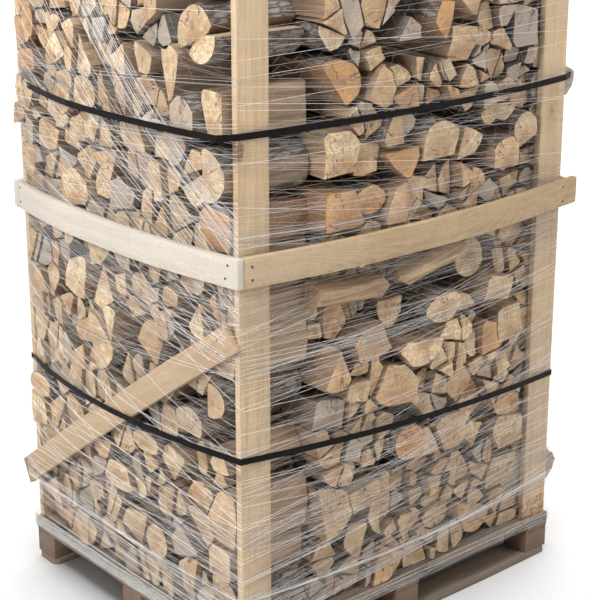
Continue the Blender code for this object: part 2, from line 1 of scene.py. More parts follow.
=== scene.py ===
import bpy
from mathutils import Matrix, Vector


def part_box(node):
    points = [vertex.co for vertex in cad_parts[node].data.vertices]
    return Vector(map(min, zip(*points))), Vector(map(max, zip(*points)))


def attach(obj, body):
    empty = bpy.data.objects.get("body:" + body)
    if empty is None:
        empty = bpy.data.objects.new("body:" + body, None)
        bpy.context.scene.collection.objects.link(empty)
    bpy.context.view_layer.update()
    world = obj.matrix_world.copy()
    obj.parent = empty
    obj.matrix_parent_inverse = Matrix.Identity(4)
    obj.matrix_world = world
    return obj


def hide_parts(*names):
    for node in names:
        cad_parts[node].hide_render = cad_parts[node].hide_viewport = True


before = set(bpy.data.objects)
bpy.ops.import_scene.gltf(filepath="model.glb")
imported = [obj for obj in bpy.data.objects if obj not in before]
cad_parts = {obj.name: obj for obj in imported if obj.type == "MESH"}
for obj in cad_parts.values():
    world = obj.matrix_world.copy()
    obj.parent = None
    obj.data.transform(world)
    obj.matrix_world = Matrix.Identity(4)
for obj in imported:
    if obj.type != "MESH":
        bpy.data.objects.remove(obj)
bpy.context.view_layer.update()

import math
import random

import bpy
import numpy as np
from mathutils import Matrix, Vector
from mathutils.bvhtree import BVHTree

# Pallet planks: three skids, three stringers and seven deck boards of rough-sawn
# softwood that has gone grey-brown in the yard. They are nailed above and below
# nine blocks.
PLANK_EDGE = 0.0022
PLANK_ROUGH = 0.0016
SKID_ROUGH = 0.0030
PLANK_CUT_EVERY = 0.045
PITH_ASIDE = 0.04
PITH_DEEP = (0.03, 0.09)
DAMP_TOP = (0.170, 0.235)


def only(*pieces):
    """Selects these pieces alone and makes the first one active."""
    bpy.ops.object.select_all(action="DESELECT")
    for piece in pieces:
        piece.select_set(True)
    bpy.context.view_layer.objects.active = pieces[0]


def edit(piece):
    only(piece)
    bpy.ops.object.mode_set(mode="EDIT")
    bpy.ops.mesh.select_all(action="SELECT")


def done():
    bpy.ops.object.mode_set(mode="OBJECT")


def copy_solid(node, name):
    """A new piece in the shape of one CAD solid, its loose triangles merged."""
    piece = bpy.data.objects.new(name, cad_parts[node].data.copy())
    piece.data.materials.clear()
    bpy.context.scene.collection.objects.link(piece)
    edit(piece)
    bpy.ops.mesh.remove_doubles(threshold=1e-5)
    bpy.ops.mesh.dissolve_limited(angle_limit=math.radians(0.6))
    bpy.ops.mesh.customdata_custom_splitnormals_clear()
    done()
    return piece


def cut_along(piece, direction, every):
    """Divides the edges that run one way, so that the face can bend and roughen."""
    edit(piece)
    bpy.ops.mesh.select_mode(type="EDGE")
    bpy.ops.mesh.select_all(action="DESELECT")
    done()
    longest = 0.0
    for edge in piece.data.edges:
        start, end = (piece.data.vertices[number].co for number in edge.vertices)
        if abs((end - start).normalized().dot(direction)) > 0.85:
            edge.select = True
            longest = max(longest, (end - start).length)
    bpy.ops.object.mode_set(mode="EDIT")
    bpy.ops.mesh.subdivide(number_cuts=max(1, round(longest / every) - 1))
    done()


def bevel_edges(piece, width, segments=2):
    bevel = piece.modifiers.new("worn edges", "BEVEL")
    bevel.limit_method = "ANGLE"
    bevel.angle_limit = math.radians(40)
    bevel.width = width
    bevel.segments = segments
    only(piece)
    bpy.ops.object.modifier_apply(modifier=bevel.name)


def roughen(piece, along, amount, size, stretch=5.0, group=""):
    """Pushes the surface in and out by a cloud field that is drawn out along the wood."""
    field = bpy.data.textures.new("wood field", "CLOUDS")
    field.noise_scale = size
    field.noise_depth = 2
    guide = bpy.data.objects.new("field guide", None)
    bpy.context.scene.collection.objects.link(guide)
    guide.scale = [stretch if abs(part) > 0.5 else 1.0 for part in along]
    bpy.context.view_layer.update()
    push = piece.modifiers.new("rough face", "DISPLACE")
    push.texture = field
    push.texture_coords = "OBJECT"
    push.texture_coords_object = guide
    push.direction = "RGB_TO_XYZ"
    push.strength = amount * 2
    push.mid_level = 0.5
    push.vertex_group = group
    only(piece)
    bpy.ops.object.modifier_apply(modifier=push.name)
    bpy.data.objects.remove(guide)


def lay_grain(piece, along, across, pith, start):
    """Stores where each point lies in the tree: two places off the pith, one along it."""
    third = along.cross(across)
    grain = piece.data.attributes.new("grain", "FLOAT_VECTOR", "POINT")
    for vert, spot in zip(piece.data.vertices, grain.data):
        spot.vector = (
            vert.co.dot(across) - pith[0],
            vert.co.dot(third) - pith[1],
            vert.co.dot(along) + start,
        )


def put(tree, kind, settings, sockets):
    """Adds a shader node, gives it its settings, and sets or joins its sockets."""
    node = tree.nodes.new("ShaderNode" + kind)
    for key, value in settings.items():
        setattr(node, key, value)
    for key, value in sockets.items():
        if isinstance(value, bpy.types.NodeSocket):
            tree.links.new(value, node.inputs[key])
        else:
            node.inputs[key].default_value = value
    return node


def calc(tree, operation, *values, clamp=False):
    settings = {"operation": operation, "use_clamp": clamp}
    return put(tree, "Math", settings, dict(enumerate(values))).outputs[0]


def scaled(tree, vector, factors):
    settings = {"operation": "MULTIPLY"}
    return put(tree, "VectorMath", settings, {0: vector, 1: factors}).outputs[0]


def noise_at(tree, vector, scale, detail=2.0, roughness=0.5, part="Fac"):
    sockets = {"Vector": vector, "Scale": scale, "Detail": detail, "Roughness": roughness}
    return put(tree, "TexNoise", {}, sockets).outputs[part]


def span(tree, value, start, end, low=0.0, high=1.0):
    """A smooth change from low to high while the value goes from start to end."""
    sockets = {"Value": value, 1: start, 2: end, 3: low, 4: high}
    return put(tree, "MapRange", {"interpolation_type": "SMOOTHSTEP"}, sockets).outputs[0]


def tint(tree, share, first, second, blend="MIX"):
    """One colour over another, as a socket; plain colours are given as three numbers."""
    settings = {"data_type": "RGBA", "blend_type": blend, "clamp_factor": True}
    pair = [c if isinstance(c, bpy.types.NodeSocket) else (*c, 1.0) for c in (first, second)]
    return put(tree, "Mix", settings, {0: share, 6: pair[0], 7: pair[1]}).outputs[2]


def start_group(name, inputs, outputs):
    """A node group with named sockets, and its input and output nodes."""
    tree = bpy.data.node_groups.new(name, "ShaderNodeTree")
    for socket, kind in inputs.items():
        tree.interface.new_socket(socket, in_out="INPUT", socket_type="NodeSocket" + kind)
    for socket in outputs:
        tree.interface.new_socket(socket, in_out="OUTPUT", socket_type="NodeSocketFloat")
    return tree, tree.nodes.new("NodeGroupInput").outputs, tree.nodes.new("NodeGroupOutput")


def use_group(tree, group, sockets):
    return put(tree, "Group", {"node_tree": group}, sockets).outputs


def make_wood_figure():
    """Year rings, fibres and long streaks, read from the grain that a piece stores."""
    tree, given, result = start_group(
        "wood figure",
        {"Grain": "Vector", "Ring Spacing": "Float", "Wobble": "Float"},
        ("Rings", "Fibres", "Streaks"),
    )
    slow = scaled(tree, given["Grain"], (1.0, 1.0, 0.16))
    drift = noise_at(tree, slow, 16.0, 2.0, part="Color")
    drift = put(tree, "VectorMath", {"operation": "SUBTRACT"}, {0: drift, 1: (0.5, 0.5, 0.5)})
    drift = put(
        tree, "VectorMath", {"operation": "SCALE"},
        {0: drift.outputs[0], "Scale": given["Wobble"]},
    )
    bent = put(tree, "VectorMath", {"operation": "ADD"}, {0: given["Grain"], 1: drift.outputs[0]})
    flat = scaled(tree, bent.outputs[0], (1.0, 1.0, 0.0))
    reach = put(tree, "VectorMath", {"operation": "LENGTH"}, {0: flat}).outputs["Value"]
    turns = calc(tree, "DIVIDE", reach, given["Ring Spacing"])
    ring = calc(tree, "POWER", calc(tree, "FRACT", turns), 2.5)
    tree.links.new(ring, result.inputs["Rings"])
    fine = scaled(tree, given["Grain"], (1.0, 1.0, 0.030))
    tree.links.new(noise_at(tree, fine, 700.0, 3.0), result.inputs["Fibres"])
    long = scaled(tree, given["Grain"], (1.0, 1.0, 0.035))
    tree.links.new(noise_at(tree, long, 75.0, 4.0, 0.6), result.inputs["Streaks"])
    return tree


def make_knot_group():
    """Knots: a dark core in a ring of swirled wood, here and there along a board."""
    tree, given, result = start_group("knots", {"Grain": "Vector", "Size": "Float"}, ("Core", "Halo"))
    place = scaled(tree, given["Grain"], (9.0, 1.0, 5.0))
    wave = noise_at(tree, place, 6.0, 2.0, part="Color")
    bent = put(tree, "VectorMath", {"operation": "ADD"}, {0: place, 1: scaled(tree, wave, (0.10,) * 3)})
    cell = put(tree, "TexVoronoi", {}, {"Vector": bent.outputs[0], "Scale": 0.9})
    pick = put(tree, "SeparateColor", {}, {0: cell.outputs["Color"]}).outputs[0]
    chosen = calc(tree, "GREATER_THAN", pick, 0.60)
    distance = calc(tree, "DIVIDE", cell.outputs["Distance"], given["Size"])
    core = span(tree, distance, 0.8, 1.15, 1.0, 0.0)
    halo = span(tree, distance, 1.1, 3.0, 1.0, 0.0)
    tree.links.new(calc(tree, "MULTIPLY", core, chosen), result.inputs["Core"])
    tree.links.new(calc(tree, "MULTIPLY", halo, chosen), result.inputs["Halo"])
    return tree


def make_weather_group():
    """Where rain and dirt have worked: broad stains with a finer broken edge."""
    tree, given, result = start_group("weather", {"Place": "Vector", "Amount": "Float"}, ("Stain",))
    broad = noise_at(tree, given["Place"], 3.2, 3.0, 0.55)
    fine = noise_at(tree, given["Place"], 38.0, 3.0, 0.6)
    mixed = calc(tree, "MULTIPLY_ADD", fine, 0.35, calc(tree, "MULTIPLY", broad, 0.65))
    stain = span(tree, mixed, 0.38, 0.62)
    tree.links.new(calc(tree, "MULTIPLY", stain, given["Amount"]), result.inputs["Stain"])
    return tree


WOOD_FIGURE = make_wood_figure()
KNOTS = make_knot_group()
WEATHER = make_weather_group()


def start_material(name, specular=0.25):
    material = bpy.data.materials.new(name)
    material.use_nodes = True
    shader = material.node_tree.nodes["Principled BSDF"]
    shader.inputs["Specular IOR Level"].default_value = specular
    return material, material.node_tree, shader


def finish_material(tree, shader, colour, roughness, height, distance, strength=1.0):
    """Joins colour, roughness and a bump of real height to the shader."""
    tree.links.new(colour, shader.inputs["Base Color"])
    tree.links.new(roughness, shader.inputs["Roughness"])
    bump = put(tree, "Bump", {}, {"Height": height, "Distance": distance, "Strength": strength})
    tree.links.new(bump.outputs[0], shader.inputs["Normal"])


def make_plank_wood(name, sapwood, latewood, silver, stain, knot_size, contrast=0.6, foot=0.0):
    """Sawn softwood: rings and streaks between two tones, knots, stains and fibres.

    The foot is how strongly damp has browned what stands just above the pallet.
    """
    material, tree, shader = start_material(name)
    grain = put(tree, "Attribute", {"attribute_name": "grain"}, {}).outputs["Vector"]
    place = put(tree, "TexCoord", {}, {}).outputs["Object"]
    figure = use_group(tree, WOOD_FIGURE, {"Grain": grain, "Ring Spacing": 0.0042, "Wobble": 0.012})
    knots = use_group(tree, KNOTS, {"Grain": grain, "Size": knot_size})
    weather = use_group(tree, WEATHER, {"Place": place, "Amount": stain})
    streak = span(tree, figure["Streaks"], 0.35, 0.70)
    rings = calc(tree, "MULTIPLY", figure["Rings"], 0.55 * contrast)
    share = calc(tree, "MULTIPLY_ADD", streak, 0.65 * contrast, rings, clamp=True)
    colour = tint(tree, share, sapwood, latewood)
    colour = tint(tree, weather["Stain"], colour, silver)
    colour = tint(tree, calc(tree, "MULTIPLY", knots["Halo"], 0.45), colour, latewood)
    core = [part * 0.42 for part in latewood]
    colour = tint(tree, calc(tree, "MULTIPLY", knots["Core"], 0.9), colour, core)
    if foot:
        height_up = put(tree, "SeparateXYZ", {}, {0: place}).outputs[2]
        patchy = span(tree, noise_at(tree, place, 55.0, 3.0, 0.7), 0.40, 0.58, 0.0, foot)
        damp = calc(tree, "MULTIPLY", span(tree, height_up, *DAMP_TOP, 1.0, 0.0), patchy)
        colour = tint(tree, damp, colour, (0.230, 0.110, 0.040))
    fleck = span(tree, figure["Fibres"], 0.30, 0.52, 0.82, 1.0)
    grey = put(tree, "CombineColor", {}, {0: fleck, 1: fleck, 2: fleck}).outputs[0]
    colour = tint(tree, 1.0, colour, grey, "MULTIPLY")
    rough = calc(tree, "MULTIPLY_ADD", figure["Fibres"], 0.25, 0.62)
    height = calc(tree, "MULTIPLY_ADD", figure["Rings"], 0.35, figure["Fibres"])
    finish_material(tree, shader, colour, rough, height, 0.0010, 0.8)
    return material


X_AXIS = Vector((1, 0, 0))
Y_AXIS = Vector((0, 1, 0))
Z_AXIS = Vector((0, 0, 1))


def dress_plank(node, along, across, material, rng, rough=PLANK_ROUGH):
    """A board as it left the saw: soft edges, a slightly uneven face, its own grain."""
    plank = copy_solid(node, node + "_plank")
    cut_along(plank, along, PLANK_CUT_EVERY)
    cut_along(plank, across, PLANK_CUT_EVERY * 0.6)
    low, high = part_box(node)
    middle = (low + high) / 2
    third = along.cross(across)
    pith = (
        middle.dot(across) + rng.uniform(-PITH_ASIDE, PITH_ASIDE),
        middle.dot(third) + rng.choice((-1, 1)) * rng.uniform(*PITH_DEEP),
    )
    lay_grain(plank, along, across, pith, rng.uniform(0, 40))
    bevel_edges(plank, PLANK_EDGE)
    roughen(plank, along, rough, 0.05)
    for vert in plank.data.vertices:
        vert.co.z = max(vert.co.z, 0.0)
    bpy.ops.object.shade_smooth_by_angle(angle=math.radians(32))
    plank.data.materials.append(material)
    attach(plank, "root")
    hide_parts(node)
    return plank


pallet_wood = make_plank_wood(
    "grey pallet plank", sapwood=(0.228, 0.170, 0.124), latewood=(0.105, 0.074, 0.054),
    silver=(0.178, 0.157, 0.137), stain=0.55, knot_size=0.16,
)
pallet_rng = random.Random(3)
for side in ("front", "middle", "back"):
    dress_plank(
        f"skid_{side}", X_AXIS, Y_AXIS, pallet_wood, pallet_rng, SKID_ROUGH
    )
for end in ("left", "centre", "right"):
    dress_plank(f"stringer_{end}", Y_AXIS, X_AXIS, pallet_wood, pallet_rng)
for number in range(1, 8):
    dress_plank(f"deck_board_{number}", X_AXIS, Y_AXIS, pallet_wood, pallet_rng)

# Pallet blocks: nine sawn cubes of red-brown softwood between skids and stringers,
# each with its grain along the skid, rough and dark with damp from below.
BLOCK_ROUGH = 0.0024
block_wood = make_plank_wood(
    "damp pallet block", sapwood=(0.205, 0.120, 0.072), latewood=(0.095, 0.052, 0.032),
    silver=(0.185, 0.145, 0.115), stain=0.65, knot_size=0.10, contrast=0.8,
)
block_rng = random.Random(8)
for side in ("front", "middle", "back"):
    for end in ("left", "centre", "right"):
        dress_plank(
            f"block_{side}_{end}", X_AXIS, Y_AXIS, block_wood, block_rng, BLOCK_ROUGH
        )

# Corner posts: four boards of pale softwood that stand on the deck with their
# broad faces to the long sides. They are sawn rough, and damp has browned their feet.
POST_ROUGH = 0.0018
post_wood = make_plank_wood(
    "pale post board", sapwood=(0.590, 0.434, 0.272), latewood=(0.380, 0.250, 0.136),
    silver=(0.505, 0.400, 0.281), stain=0.50, knot_size=0.15, contrast=0.75, foot=0.85,
)
post_rng = random.Random(14)
for side in ("front", "back"):
    for end in ("left", "right"):
        dress_plank(
            f"post_{side}_{end}", Z_AXIS, X_AXIS, post_wood, post_rng, POST_ROUGH
        )

# Split logs: 27 cm rounds of beech and birch, split by the axe into halves,
# quarters, wedges and blocks. Each has sawn ends, split faces and mostly some bark.
# This first stack lies along X with its sawn ends on the short side.
LOG_LENGTH = 0.27
LOG_SIDES = 16
# Each form: the cuts that split it from a round, as the way a cut faces, in degrees,
# and its distance from the pith, as a share of the round's radius.
LOG_FORMS = {
    "round": (),
    "half": ((-90, 0.05),),
    "arch": ((-90, 0.10), (0, 0.74), (180, 0.74)),
    "quarter": ((-45, 0.02), (225, 0.02)),
    "wedge": ((-28, 0.02), (208, 0.02)),
    "kite": ((-50, 0.03), (222, 0.10), (68, 0.80)),
    "block": ((0, 0.52), (180, 0.50), (-90, 0.02), (86, 0.86)),
    "shard": ((-90, 0.02), (38, 0.52), (156, 0.60)),
}
CELL_GAPS = (0.0008, 0.0058)
SPLIT_SIZES = (0.085, 0.138)
THINNEST = 0.045
MARK_REACH = 0.06
MARK_GROWTH = 1.02
HIDDEN_GROWTH = 1.30
EDGE_GROWTH = (1.16, 1.34)
OTHER_GROWTH = (0.90, 1.10)
BARK_OUT_SHARE = 0.65
SET_BACK = 0.040
CUT_SHARES = (0.30, 0.55, 0.78)
OUTLINE_EDGE = 0.024
RIM = 0.0022
RIM_RISE = 0.0012
BARK_FROM = 0.972
LOG_WARP = 0.0065
END_WARP = 0.010
BARK_WARP = 0.0035
HOLE_SHARE = 0.05
HOLE_SIZE = 0.075


def make_form(name, cuts):
    """A log of unit size below its sawn end: pith at the origin, bark at radius one."""
    bpy.ops.object.select_all(action="DESELECT")
    bpy.ops.mesh.primitive_cylinder_add(
        vertices=LOG_SIDES, radius=1.0, depth=1.0, location=(0, 0, -0.5)
    )
    form = bpy.context.object
    form.name = name
    bpy.ops.object.transform_apply(location=True, rotation=True, scale=True)
    for degrees, offset in cuts:
        facing = Vector((math.cos(math.radians(degrees)), math.sin(math.radians(degrees)), 0))
        edit(form)
        bpy.ops.mesh.bisect(
            plane_co=facing * offset, plane_no=facing, use_fill=True, clear_outer=True
        )
        done()
    return form


def read_ends(node, outward, right):
    """Outline and reach of each log's end on a stack's solid, seen from outside."""
    solid = copy_solid(node, "outlines of " + node)
    ends = []
    for face in solid.data.polygons:
        if face.normal.dot(outward) > 0.99:
            corners = [solid.data.vertices[number].co for number in face.vertices]
            outline = [Vector((corner.dot(right), corner.z)) for corner in corners]
            ends.append((outline, corners[0].dot(outward)))
    bpy.data.objects.remove(solid)
    return ends


def middle_of(outline):
    xs = [corner.x for corner in outline]
    ys = [corner.y for corner in outline]
    return Vector(((min(xs) + max(xs)) / 2, (min(ys) + max(ys)) / 2))


def size_of(outline):
    xs = [corner.x for corner in outline]
    ys = [corner.y for corner in outline]
    return max(xs) - min(xs), max(ys) - min(ys)


def fitting_roll(kind, outline, rng):
    """Turns a log so that its flat or its point goes where its neighbours leave room."""
    middle = middle_of(outline)
    sides = list(zip(outline, outline[1:] + outline[:1]))
    if kind in ("quarter", "wedge", "kite"):
        corners = zip(outline[-1:] + outline[:-1], outline, outline[1:] + outline[:1])
        sharpest = min(corners, key=lambda c: (c[0] - c[1]).angle(c[2] - c[1], math.pi))
        away = middle - sharpest[1]
    else:
        first, second = max(sides, key=lambda side: (side[1] - side[0]).length)
        away = middle - (first + second) / 2
    if kind == "round" or away.length < 1e-6:
        return rng.uniform(0, 360)
    return math.degrees(math.atan2(away.y, away.x)) - 90


def halve(outline, upright, rng):
    """Cuts an outline in two, mostly across its longer way."""
    width, height = size_of(outline)
    lean = rng.uniform(-0.5, 0.5)
    facing = Vector((1, lean)) if width > upright * height else Vector((lean, 1))
    facing.normalize()
    line = middle_of(outline).dot(facing) + rng.uniform(-0.14, 0.14) * max(width, height)
    parts = []
    for sign in (1, -1):
        part = []
        for first, second in zip(outline, outline[1:] + outline[:1]):
            a = (first.dot(facing) - line) * sign
            b = (second.dot(facing) - line) * sign
            if a <= 0:
                part.append(first)
            if a * b < 0:
                part.append(first.lerp(second, a / (a - b)))
        parts.append(part)
    return parts


def place_log(form, outline, reach, length, roll, size, finish, start, gap):
    """One log in stack space: across, up and out. Its end fills the outline.

    The outline's own sides trim it, so that it stays clear of its neighbours.
    """
    mesh = form.data.copy()
    turn = Matrix.Rotation(math.radians(roll), 2)
    unit = [vert.co.copy() for vert in mesh.vertices]
    spun = [turn @ spot.xy for spot in unit]
    width, height = size_of(spun)
    scale = Vector((size[0] / width, size[1] / height))
    shift = middle_of(outline) - middle_of(spun) * scale
    radius = (scale.x + scale.y) / 2
    mesh.attributes.new("grain", "FLOAT_VECTOR", "POINT")
    mesh.attributes.new("finish", "FLOAT_COLOR", "POINT")
    grain = mesh.attributes["grain"].data
    look = mesh.attributes["finish"].data
    for vert, tree_spot, spot, item, colour in zip(mesh.vertices, unit, spun, grain, look):
        item.vector = (tree_spot.x * radius, tree_spot.y * radius, tree_spot.z * length + start)
        colour.color = (*finish, radius)
        vert.co = (*(spot * scale + shift), reach + tree_spot.z * length)
    log = bpy.data.objects.new("log", mesh)
    bpy.context.scene.collection.objects.link(log)
    edit(log)
    for first, second in zip(outline, outline[1:] + outline[:1]):
        along = second - first
        if along.length < 1e-4:
            continue
        facing = Vector((along.y, -along.x)).normalized()
        edge = first.dot(facing) - gap
        if max((spot * scale + shift).dot(facing) for spot in spun) > edge:
            bpy.ops.mesh.select_all(action="SELECT")
            bpy.ops.mesh.bisect(
                plane_co=(*(facing * edge), 0), plane_no=(*facing, 0),
                use_fill=True, clear_outer=True,
            )
    done()
    return log


def grain_of(mesh):
    values = np.empty(len(mesh.vertices) * 3, np.float32)
    mesh.attributes["grain"].data.foreach_get("vector", values)
    return values.reshape(-1, 3)


def radius_of(mesh):
    values = np.empty(len(mesh.vertices) * 4, np.float32)
    mesh.attributes["finish"].data.foreach_get("color", values)
    return values.reshape(-1, 4)[:, 3]


def sort_faces(piece, along):
    """Gives each face its surface: 0 split wood, 1 sawn end, 2 bark."""
    grain = grain_of(piece.data)
    radius = radius_of(piece.data)
    for face in piece.data.polygons:
        corners = list(face.vertices)
        if abs(face.normal.dot(along)) > 0.8:
            face.material_index = 1
            continue
        off_pith = np.linalg.norm(grain[corners, :2].mean(0)) / radius[corners].mean()
        face.material_index = 2 if off_pith > BARK_FROM else 0


def join_logs(logs, name, stations):
    """One piece of many logs in stack space, with rings, rims and uneven outlines."""
    only(*logs)
    bpy.ops.object.join()
    stack = bpy.context.object
    stack.name = stack.data.name = name
    edit(stack)
    for station in stations:
        bpy.ops.mesh.select_all(action="SELECT")
        bpy.ops.mesh.bisect(plane_co=(0, 0, station), plane_no=(0, 0, 1))
    bpy.ops.mesh.select_mode(type="EDGE")
    bpy.ops.mesh.select_all(action="DESELECT")
    done()
    for edge in stack.data.edges:
        start, end = (stack.data.vertices[number].co for number in edge.vertices)
        across = (end - start).xy.length
        edge.select = across > OUTLINE_EDGE and across > abs(end.z - start.z)
    bpy.ops.object.mode_set(mode="EDIT")
    bpy.ops.mesh.subdivide(number_cuts=1)
    done()
    sort_faces(stack, Z_AXIS)
    for face in stack.data.polygons:
        face.select = face.material_index == 1
    bpy.ops.object.mode_set(mode="EDIT")
    bpy.ops.mesh.select_mode(type="FACE")
    done()
    for face in stack.data.polygons:
        face.select = face.material_index == 1
    bpy.ops.object.mode_set(mode="EDIT")
    bpy.ops.mesh.inset(thickness=RIM, depth=RIM_RISE, use_individual=True)
    done()
    before = len(stack.data.vertices)
    bpy.ops.object.mode_set(mode="EDIT")
    bpy.ops.mesh.poke()
    done()
    middles = stack.vertex_groups.new(name="middles")
    middles.add(list(range(before, len(stack.data.vertices))), 1.0, "REPLACE")
    return stack


def wear_logs(stack):
    """Warps the outlines, sets the ends askew, and raises and furrows the bark."""
    roughen(stack, Z_AXIS, LOG_WARP, 0.045, 4.0)
    roughen(stack, Z_AXIS, END_WARP, 0.020, 1.0, "middles")
    furrowed = stack.vertex_groups.new(name="bark")
    bark = {n for face in stack.data.polygons if face.material_index == 2 for n in face.vertices}
    furrowed.add(sorted(bark), 1.0, "REPLACE")
    roughen(stack, Z_AXIS, BARK_WARP, 0.012, 2.0, "bark")
    stack.vertex_groups.clear()
    only(stack)
    bpy.ops.object.shade_smooth_by_angle(angle=math.radians(28))


def stand_stack(stack, right, outward, node):
    """Turns a stack from stack space into its place in the crate."""
    turned = Matrix((right, Z_AXIS, outward)).transposed()
    stack.data.transform(turned.to_4x4())
    for material in (split_wood, sawn_end, bark):
        stack.data.materials.append(material)
    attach(stack, "root")
    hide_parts(node)


def make_end_grain():
    """A sawn log end: rings, radial checks, heartwood, the bark's edge, saw marks."""
    tree, given, result = start_group(
        "end grain", {"Grain": "Vector", "Radius": "Float"},
        ("Rings", "Checks", "Heart", "Rim", "Saw"),
    )
    parts = put(tree, "SeparateXYZ", {}, {0: given["Grain"]}).outputs
    flat = scaled(tree, given["Grain"], (1.0, 1.0, 0.0))
    reach = put(tree, "VectorMath", {"operation": "LENGTH"}, {0: flat}).outputs["Value"]
    share = calc(tree, "DIVIDE", reach, given["Radius"])
    wave = noise_at(tree, given["Grain"], 45.0, 2.0)
    wavy = calc(tree, "MULTIPLY_ADD", wave, 0.006, reach)
    ring = calc(tree, "POWER", calc(tree, "FRACT", calc(tree, "DIVIDE", wavy, 0.0034)), 2.0)
    tree.links.new(ring, result.inputs["Rings"])
    ray = calc(tree, "ARCTAN2", parts[1], parts[0])
    star = put(
        tree, "CombineXYZ", {},
        {0: calc(tree, "COSINE", ray), 1: calc(tree, "SINE", ray), 2: parts[2]},
    ).outputs[0]
    bent_star = put(
        tree, "VectorMath", {"operation": "ADD"},
        {0: star, 1: scaled(tree, given["Grain"], (9.0, 9.0, 0.0))},
    ).outputs[0]
    field = noise_at(tree, bent_star, 1.5, 2.0)
    spread = calc(tree, "ABSOLUTE", calc(tree, "SUBTRACT", field, 0.5))
    crack = span(tree, spread, 0.004, 0.016, 1.0, 0.0)
    open_rays = span(tree, noise_at(tree, star, 1.1, 1.0), 0.44, 0.56)
    crack = calc(tree, "MULTIPLY", crack, open_rays)
    crack = calc(tree, "MULTIPLY", crack, span(tree, share, 0.06, 0.22))
    tree.links.new(crack, result.inputs["Checks"])
    blur = calc(tree, "MULTIPLY_ADD", noise_at(tree, given["Grain"], 30.0, 2.0), 0.35, share)
    tree.links.new(span(tree, blur, 0.38, 0.72, 1.0, 0.0), result.inputs["Heart"])
    tree.links.new(span(tree, share, 0.945, 0.965), result.inputs["Rim"])
    saw = scaled(tree, given["Grain"], (0.06, 1.0, 0.2))
    tree.links.new(noise_at(tree, saw, 190.0, 4.0, 0.65), result.inputs["Saw"])
    return tree


def log_colours(tree, pale, plain, warm):
    """The log's tone between pale, plain and warm wood, its greyness and radius. Low on the left side
    the tone also holds painted light.
    """
    look = put(tree, "Attribute", {"attribute_name": "finish"}, {})
    tone, warmth, greyness = put(
        tree, "SeparateColor", {}, {0: look.outputs["Color"]}
    ).outputs
    colour = tint(tree, tone, plain, pale)
    return tint(tree, warmth, colour, warm), greyness, look.outputs["Alpha"]


def make_sawn_end():
    material, tree, shader = start_material("sawn log end")
    grain = put(tree, "Attribute", {"attribute_name": "grain"}, {}).outputs["Vector"]
    place = put(tree, "TexCoord", {}, {}).outputs["Object"]
    colour, greyness, radius = log_colours(
        tree, (0.960, 0.790, 0.530), (0.680, 0.475, 0.260), (0.640, 0.310, 0.110)
    )
    grey = (0.320, 0.280, 0.245)
    figure = use_group(tree, END_GRAIN, {"Grain": grain, "Radius": radius})
    weather = use_group(tree, WEATHER, {"Place": place, "Amount": 0.5})
    blotch = noise_at(tree, grain, 26.0, 3.0, 0.6)
    colour = tint(tree, span(tree, blotch, 0.45, 0.65, 0.0, 0.50), colour, (0.380, 0.235, 0.125))
    mottle = noise_at(tree, grain, 110.0, 5.0, 0.7)
    colour = tint(tree, span(tree, mottle, 0.42, 0.62, 0.0, 0.55), colour, (0.340, 0.205, 0.105))
    heart = calc(tree, "MULTIPLY", figure["Heart"], 0.55)
    colour = tint(tree, heart, colour, (0.360, 0.155, 0.065))
    rings = calc(tree, "MULTIPLY", figure["Rings"], 0.35)
    colour = tint(tree, rings, colour, (0.300, 0.180, 0.100))
    sawn = span(tree, figure["Saw"], 0.35, 0.70, 0.0, 0.40)
    colour = tint(tree, sawn, colour, (0.310, 0.200, 0.110))
    colour = tint(tree, weather["Stain"], colour, (0.310, 0.215, 0.140))
    colour = tint(tree, calc(tree, "MULTIPLY", greyness, 0.85), colour, grey)
    colour = tint(tree, calc(tree, "MULTIPLY", figure["Checks"], 0.75), colour, (0.060, 0.035, 0.020))
    colour = tint(tree, figure["Rim"], colour, (0.070, 0.050, 0.038))
    rough = calc(tree, "MULTIPLY_ADD", figure["Saw"], 0.2, 0.65)
    saw = calc(tree, "MULTIPLY_ADD", figure["Saw"], 0.8, calc(tree, "MULTIPLY", figure["Rings"], 0.3))
    height = calc(tree, "SUBTRACT", saw, figure["Checks"])
    finish_material(tree, shader, colour, rough, height, 0.0018, 0.9)
    return material


def make_split_wood(name, pale, plain, warm):
    material, tree, shader = start_material(name)
    grain = put(tree, "Attribute", {"attribute_name": "grain"}, {}).outputs["Vector"]
    place = put(tree, "TexCoord", {}, {}).outputs["Object"]
    colour, greyness, _ = log_colours(tree, pale, plain, warm)
    grey = (0.105, 0.100, 0.098)
    figure = use_group(tree, WOOD_FIGURE, {"Grain": grain, "Ring Spacing": 0.0036, "Wobble": 0.020})
    weather = use_group(tree, WEATHER, {"Place": place, "Amount": 0.6})
    streak = span(tree, figure["Streaks"], 0.44, 0.60)
    colour = tint(tree, calc(tree, "MULTIPLY", streak, 0.62), colour, (0.140, 0.088, 0.055))
    fleck = span(tree, figure["Fibres"], 0.35, 0.60, 0.0, 0.4)
    colour = tint(tree, fleck, colour, (0.170, 0.112, 0.072))
    rings = calc(tree, "MULTIPLY", figure["Rings"], 0.25)
    colour = tint(tree, rings, colour, (0.280, 0.165, 0.090))
    colour = tint(tree, weather["Stain"], colour, (0.300, 0.225, 0.165))
    colour = tint(tree, calc(tree, "MULTIPLY", greyness, 0.9), colour, grey)
    rough = calc(tree, "MULTIPLY_ADD", figure["Fibres"], 0.2, 0.65)
    height = calc(tree, "MULTIPLY_ADD", figure["Streaks"], 2.0, figure["Fibres"])
    finish_material(tree, shader, colour, rough, height, 0.0022, 0.9)
    return material


